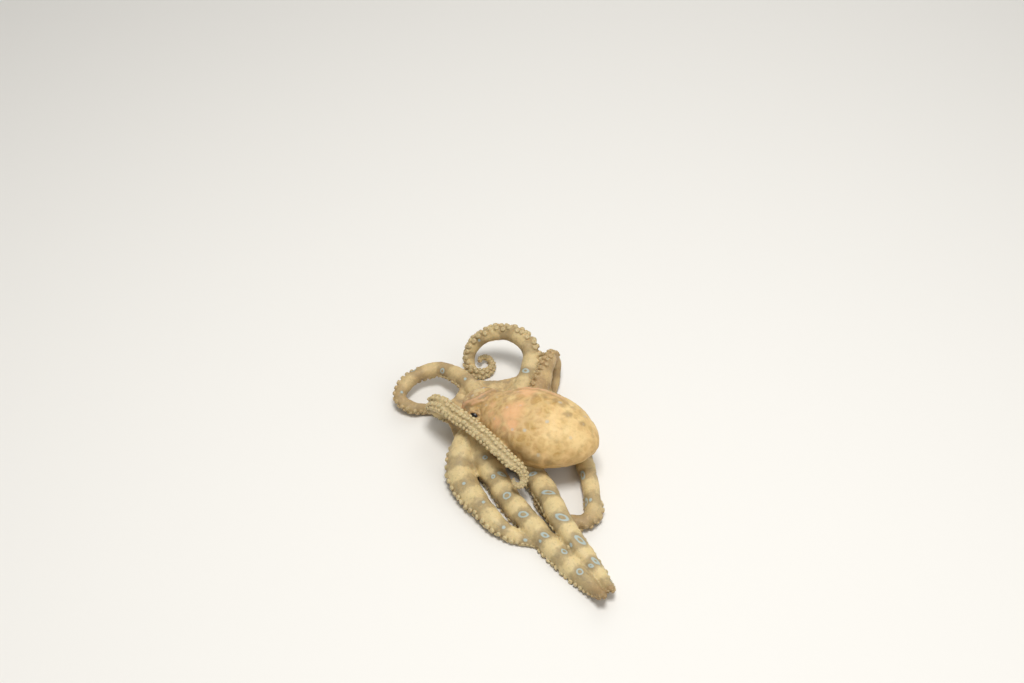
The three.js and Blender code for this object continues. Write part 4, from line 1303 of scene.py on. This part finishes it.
class OCTOPUS_PG_stage(bpy.types.PropertyGroup):
    """The floor, the lights and the camera."""

    floor_colour: hex_colour("Floor", "Colour of the floor", "#e9e6e0")
    floor_size: size("Floor size", "Length of the floor's sides", 8.0)
    key_power: number("Key light", "Power of the key light", 2.95, unit="POWER")
    fill_power: number("Fill light", "Power of the fill light", 0.9, unit="POWER")
    back_power: number("Back light", "Power of the back light", 0.9, unit="POWER")
    world_colour: hex_colour("Room", "Colour of the even light", "#f2f2f0")
    world_strength: number("Room light", "Strength of the even light", 0.4)
    lens: number("Lens", "Focal length on a 36 mm sensor", 43.45, unit="CAMERA")


# ---- Pieces


def finished(mesh, name, material, replaced=()):
    """A smooth piece with its material, riding on the body in place of CAD nodes."""
    mesh.polygons.foreach_set("use_smooth", [True] * len(mesh.polygons))
    mesh.materials.append(material)
    piece = shown(mesh, name)
    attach(piece, "root")
    if replaced:
        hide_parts(*replaced)


# How many times the joined skin is smoothed, the least share of it, which the thinnest arms get, and the
# half widths between which it rises to the full one
SMOOTHED = 14
LEAST_SMOOTHING = 0.15
SMOOTHING_RISES = (2 * MM, 10 * MM)


class OCTOPUS_OT_skin(bpy.types.Operator):
    """Makes the one skin of the mantle, head, web, funnel and arms."""

    bl_idname = "octopus.skin"
    bl_label = "Skin"

    def execute(self, context):
        settings = context.scene.octopus_skin
        arms, shells = all_shells(settings.contact_gap)
        skin = SkinMesh(remeshed(mesh_of(shells), settings.voxel), shells, arms)
        for _, shell in shells:
            shell.free()
        thick = smooth_step(*SMOOTHING_RISES, skin.half)
        share = LEAST_SMOOTHING + (1 - LEAST_SMOOTHING) * thick
        skin.points = skin.spread(skin.points, SMOOTHED, share)
        raise_relief(skin)
        open_eyes(skin)
        skin.points[:, 2] = np.maximum(skin.points[:, 2], 0)
        skin.write_points()
        mark(skin)
        flesh = [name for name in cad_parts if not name.startswith("eye_")]
        finished(skin.mesh, "octopus_skin", skin_material(), flesh)
        return {"FINISHED"}


def sucker_cup(steps):
    """One sucker of radius 1: a stalk, a swollen rim and a hollow, with how deep each point lies."""
    mesh = bmesh.new()
    for layer in ("arm", "oral", "pale", "tan", "tip", "ring", "spot"):
        mesh.verts.layers.float.new(layer)
    # Each point's depth, from which the skin's material paints shade in the hollow
    depth = mesh.verts.layers.float.new("cup")
    profile = [(0, -0.8, 0), (0.9, -0.6, 0), (1, 0.2, 0), (1.02, 0.62, 0), (0.8, 0.95, 0),
               (0.42, 1, 0.6), (0, 0.9, 1)]
    verts = []
    for radius, height, deep in profile:
        verts.append(mesh.verts.new((radius, 0, height)))
        verts[-1][depth] = deep
    spin_profile(mesh, verts, steps)
    bmesh.ops.remove_doubles(mesh, verts=mesh.verts, dist=1e-4)
    bmesh.ops.recalc_face_normals(mesh, faces=mesh.faces)
    return mesh


HIDDEN_FROM = 1.1 * MM  # a sucker whose place is further from the skin than this lies in other flesh
FOLLOWS_SKIN = 0.8  # how much a sucker faces the way the skin does, against straight out of the arm
CUP_PALENESS = (0.3, 0.3)  # of a sucker on a grey band, and what a pale band adds


def sucker_matrix(arm, place, skin_tree):
    """Where a sucker goes on the skin, or None where the flesh hides it."""
    distance, degrees, diameter = place
    along = np.array([distance])
    wanted = Vector(arm.surface(along, np.array([degrees]))[0])
    centre = Vector(arm.at(along, arm.centre)[0])
    spot, normal, _, far = skin_tree.find_nearest(wanted)
    if far > HIDDEN_FROM:
        return None
    outwards = ((wanted - centre).normalized() + normal * FOLLOWS_SKIN).normalized()
    tangent = Vector(arm.at(along, arm.tangent)[0])
    across = outwards.cross(tangent).normalized()
    turn = Matrix((across.cross(outwards), across, outwards)).transposed().to_4x4()
    spot -= outwards * diameter * bpy.context.scene.octopus_suckers.sunk
    return Matrix.Translation(spot) @ turn @ Matrix.Scale(diameter / 2, 4)


def suckers_of(arm, skin_tree, steps):
    """All of an arm's suckers as one mesh, each painted as the arm is at its place."""
    template = as_mesh(sucker_cup(steps), "sucker")
    joined = bmesh.new()
    for place in sucker_places(arm):
        matrix = sucker_matrix(arm, place, skin_tree)
        if matrix is None:
            continue
        one = template.copy()
        pale = CUP_PALENESS[0] + CUP_PALENESS[1] * paleness(arm, place[0])
        paint = {"arm": 1, "oral": 1, "pale": pale, "tan": arm.spec["tan"],
                 "tip": brown_tip(arm, place[0]), "ring": EVERYWHERE_ELSE, "spot": EVERYWHERE_ELSE}
        for layer, value in paint.items():
            one.attributes[layer].data.foreach_set("value", [float(value)] * len(one.vertices))
        one.transform(matrix)
        lowest = min(vert.co.z for vert in one.vertices)
        one.transform(Matrix.Translation((0, 0, max(0, -lowest))))
        joined.from_mesh(one)
        bpy.data.meshes.remove(one)
    bpy.data.meshes.remove(template)
    return as_mesh(joined, f"suckers_{arm.name}")


class OCTOPUS_OT_suckers(bpy.types.Operator):
    """Makes the suckers, one joined piece for each arm."""

    bl_idname = "octopus.suckers"
    bl_label = "Suckers"

    def execute(self, context):
        skin = bpy.data.objects["octopus_skin"]
        tree = BVHTree.FromObject(skin, context.evaluated_depsgraph_get())
        material = skin.data.materials[0]
        for name in ARMS:
            mesh = suckers_of(Arm(name), tree, context.scene.octopus_suckers.rim_steps)
            finished(mesh, f"suckers_{name}", material)
        return {"FINISHED"}


SLIT_POWER = 2.6  # how square the slit's outline is, 2 being an ellipse
NO_SLIT = 5  # what the back of the eyeball bears instead of the distance from the slit


class OCTOPUS_OT_eyes(bpy.types.Operator):
    """Makes the two eyes, each with its level slit of a pupil."""

    bl_idname = "octopus.eyes"
    bl_label = "Eyes"

    def execute(self, context):
        settings = context.scene.octopus_eyes
        material = eye_material()
        for name, side in (("eye_left", 1), ("eye_right", -1)):
            ball = bmesh.new()
            bmesh.ops.create_uvsphere(ball, u_segments=64, v_segments=40, radius=settings.radius)
            slit = ball.verts.layers.float.new("slit")
            for vert in ball.verts:
                across = abs(vert.co.x / settings.slit_length * 2) ** SLIT_POWER
                rise = abs(vert.co.y / settings.slit_height * 2) ** SLIT_POWER
                vert[slit] = NO_SLIT if vert.co.z < 0 else (across + rise) ** (1 / SLIT_POWER)
            centre, turn = eye_axes(side)
            place = Matrix.Translation(centre) @ turn.transposed().to_4x4()
            bmesh.ops.transform(ball, matrix=place, verts=ball.verts)
            bmesh.ops.recalc_face_normals(ball, faces=ball.faces)
            finished(as_mesh(ball, f"eyeball_{name}"), f"eyeball_{name}", material, [name])
        return {"FINISHED"}


# The stage in metres: how far the floor lies under the flats, the lights as (name, place, length of the
# sides), the point they face, and the camera, which looks down at an angle counted from straight down
FLOOR_DROP = 0.02 * MM
LIGHTS = (
    ("key", (0.02, -0.12, 0.64), 0.2),
    ("fill", (0.5, -0.35, 0.45), 0.6),
    ("back", (0.15, 0.55, 0.5), 0.5),
)
LIT_POINT = Vector((0.005, -0.015, 0.01))
CAMERA_PLACE = (0.0077, -0.29935, 0.31405)
CAMERA_ANGLE = 48
NEAREST_SEEN = 0.01
SENSOR_WIDTH = 36  # in millimetres, as a lens is


def area_light(name, place, sides, power):
    """A square soft light that faces the model."""
    lamp = bpy.data.lights.new(name, "AREA")
    lamp.size = sides
    lamp.energy = power
    light = bpy.data.objects.new(name, lamp)
    bpy.context.scene.collection.objects.link(light)
    light.location = place
    light.rotation_euler = (LIT_POINT - Vector(place)).to_track_quat("-Z", "Y").to_euler()


class OCTOPUS_OT_stage(bpy.types.Operator):
    """Makes the floor, the soft lights and the camera."""

    bl_idname = "octopus.stage"
    bl_label = "Stage"

    def execute(self, context):
        stage = context.scene.octopus_stage
        board = bmesh.new()
        bmesh.ops.create_grid(board, x_segments=2, y_segments=2, size=stage.floor_size / 2)
        bmesh.ops.translate(board, vec=(0, 0, -FLOOR_DROP), verts=board.verts)
        mesh = as_mesh(board, "floor")
        mesh.materials.append(floor_material())
        shown(mesh, "floor")
        for name, place, sides in LIGHTS:
            area_light(f"{name}_light", place, sides, getattr(stage, f"{name}_power"))
        world = bpy.data.worlds.new("even_light")
        world.use_nodes = True
        background = world.node_tree.nodes["Background"]
        background.inputs["Color"].default_value = linear(stage.world_colour)
        background.inputs["Strength"].default_value = stage.world_strength
        context.scene.world = world
        context.scene.view_settings.view_transform = "Standard"
        lens = bpy.data.cameras.new("camera")
        lens.sensor_width = SENSOR_WIDTH
        lens.lens = stage.lens
        lens.clip_start = NEAREST_SEEN
        camera = bpy.data.objects.new("camera", lens)
        camera.location = CAMERA_PLACE
        camera.rotation_euler = (math.radians(CAMERA_ANGLE), 0, 0)
        context.scene.collection.objects.link(camera)
        context.scene.camera = camera
        return {"FINISHED"}


class OCTOPUS_PT_panel(bpy.types.Panel):
    """Lists the pieces of the octopus."""

    bl_idname = "OCTOPUS_PT_panel"
    bl_label = "Octopus"
    bl_space_type = "VIEW_3D"
    bl_region_type = "UI"
    bl_category = "Octopus"

    def draw(self, context):
        for operator in OPERATORS:
            self.layout.operator(operator.bl_idname)
        for group in GROUPS:
            box = self.layout.box()
            box.label(text=group)
            settings = getattr(context.scene, group)
            for key in settings.__annotations__:
                box.prop(settings, key)


GROUPS = {
    "octopus_skin": OCTOPUS_PG_skin,
    "octopus_suckers": OCTOPUS_PG_suckers,
    "octopus_eyes": OCTOPUS_PG_eyes,
    "octopus_colours": OCTOPUS_PG_colours,
    "octopus_stage": OCTOPUS_PG_stage,
}
OPERATORS = (OCTOPUS_OT_skin, OCTOPUS_OT_suckers, OCTOPUS_OT_eyes, OCTOPUS_OT_stage)


def register():
    for kind in (*GROUPS.values(), *OPERATORS, OCTOPUS_PT_panel):
        bpy.utils.register_class(kind)
    for name, group in GROUPS.items():
        setattr(bpy.types.Scene, name, bpy.props.PointerProperty(type=group))


def unregister():
    for name in GROUPS:
        delattr(bpy.types.Scene, name)
    for kind in reversed((*GROUPS.values(), *OPERATORS, OCTOPUS_PT_panel)):
        bpy.utils.unregister_class(kind)


def main():
    register()
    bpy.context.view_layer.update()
    bpy.ops.octopus.skin()
    bpy.ops.octopus.suckers()
    bpy.ops.octopus.eyes()
    bpy.ops.octopus.stage()


if __name__ == "__main__":
    main()
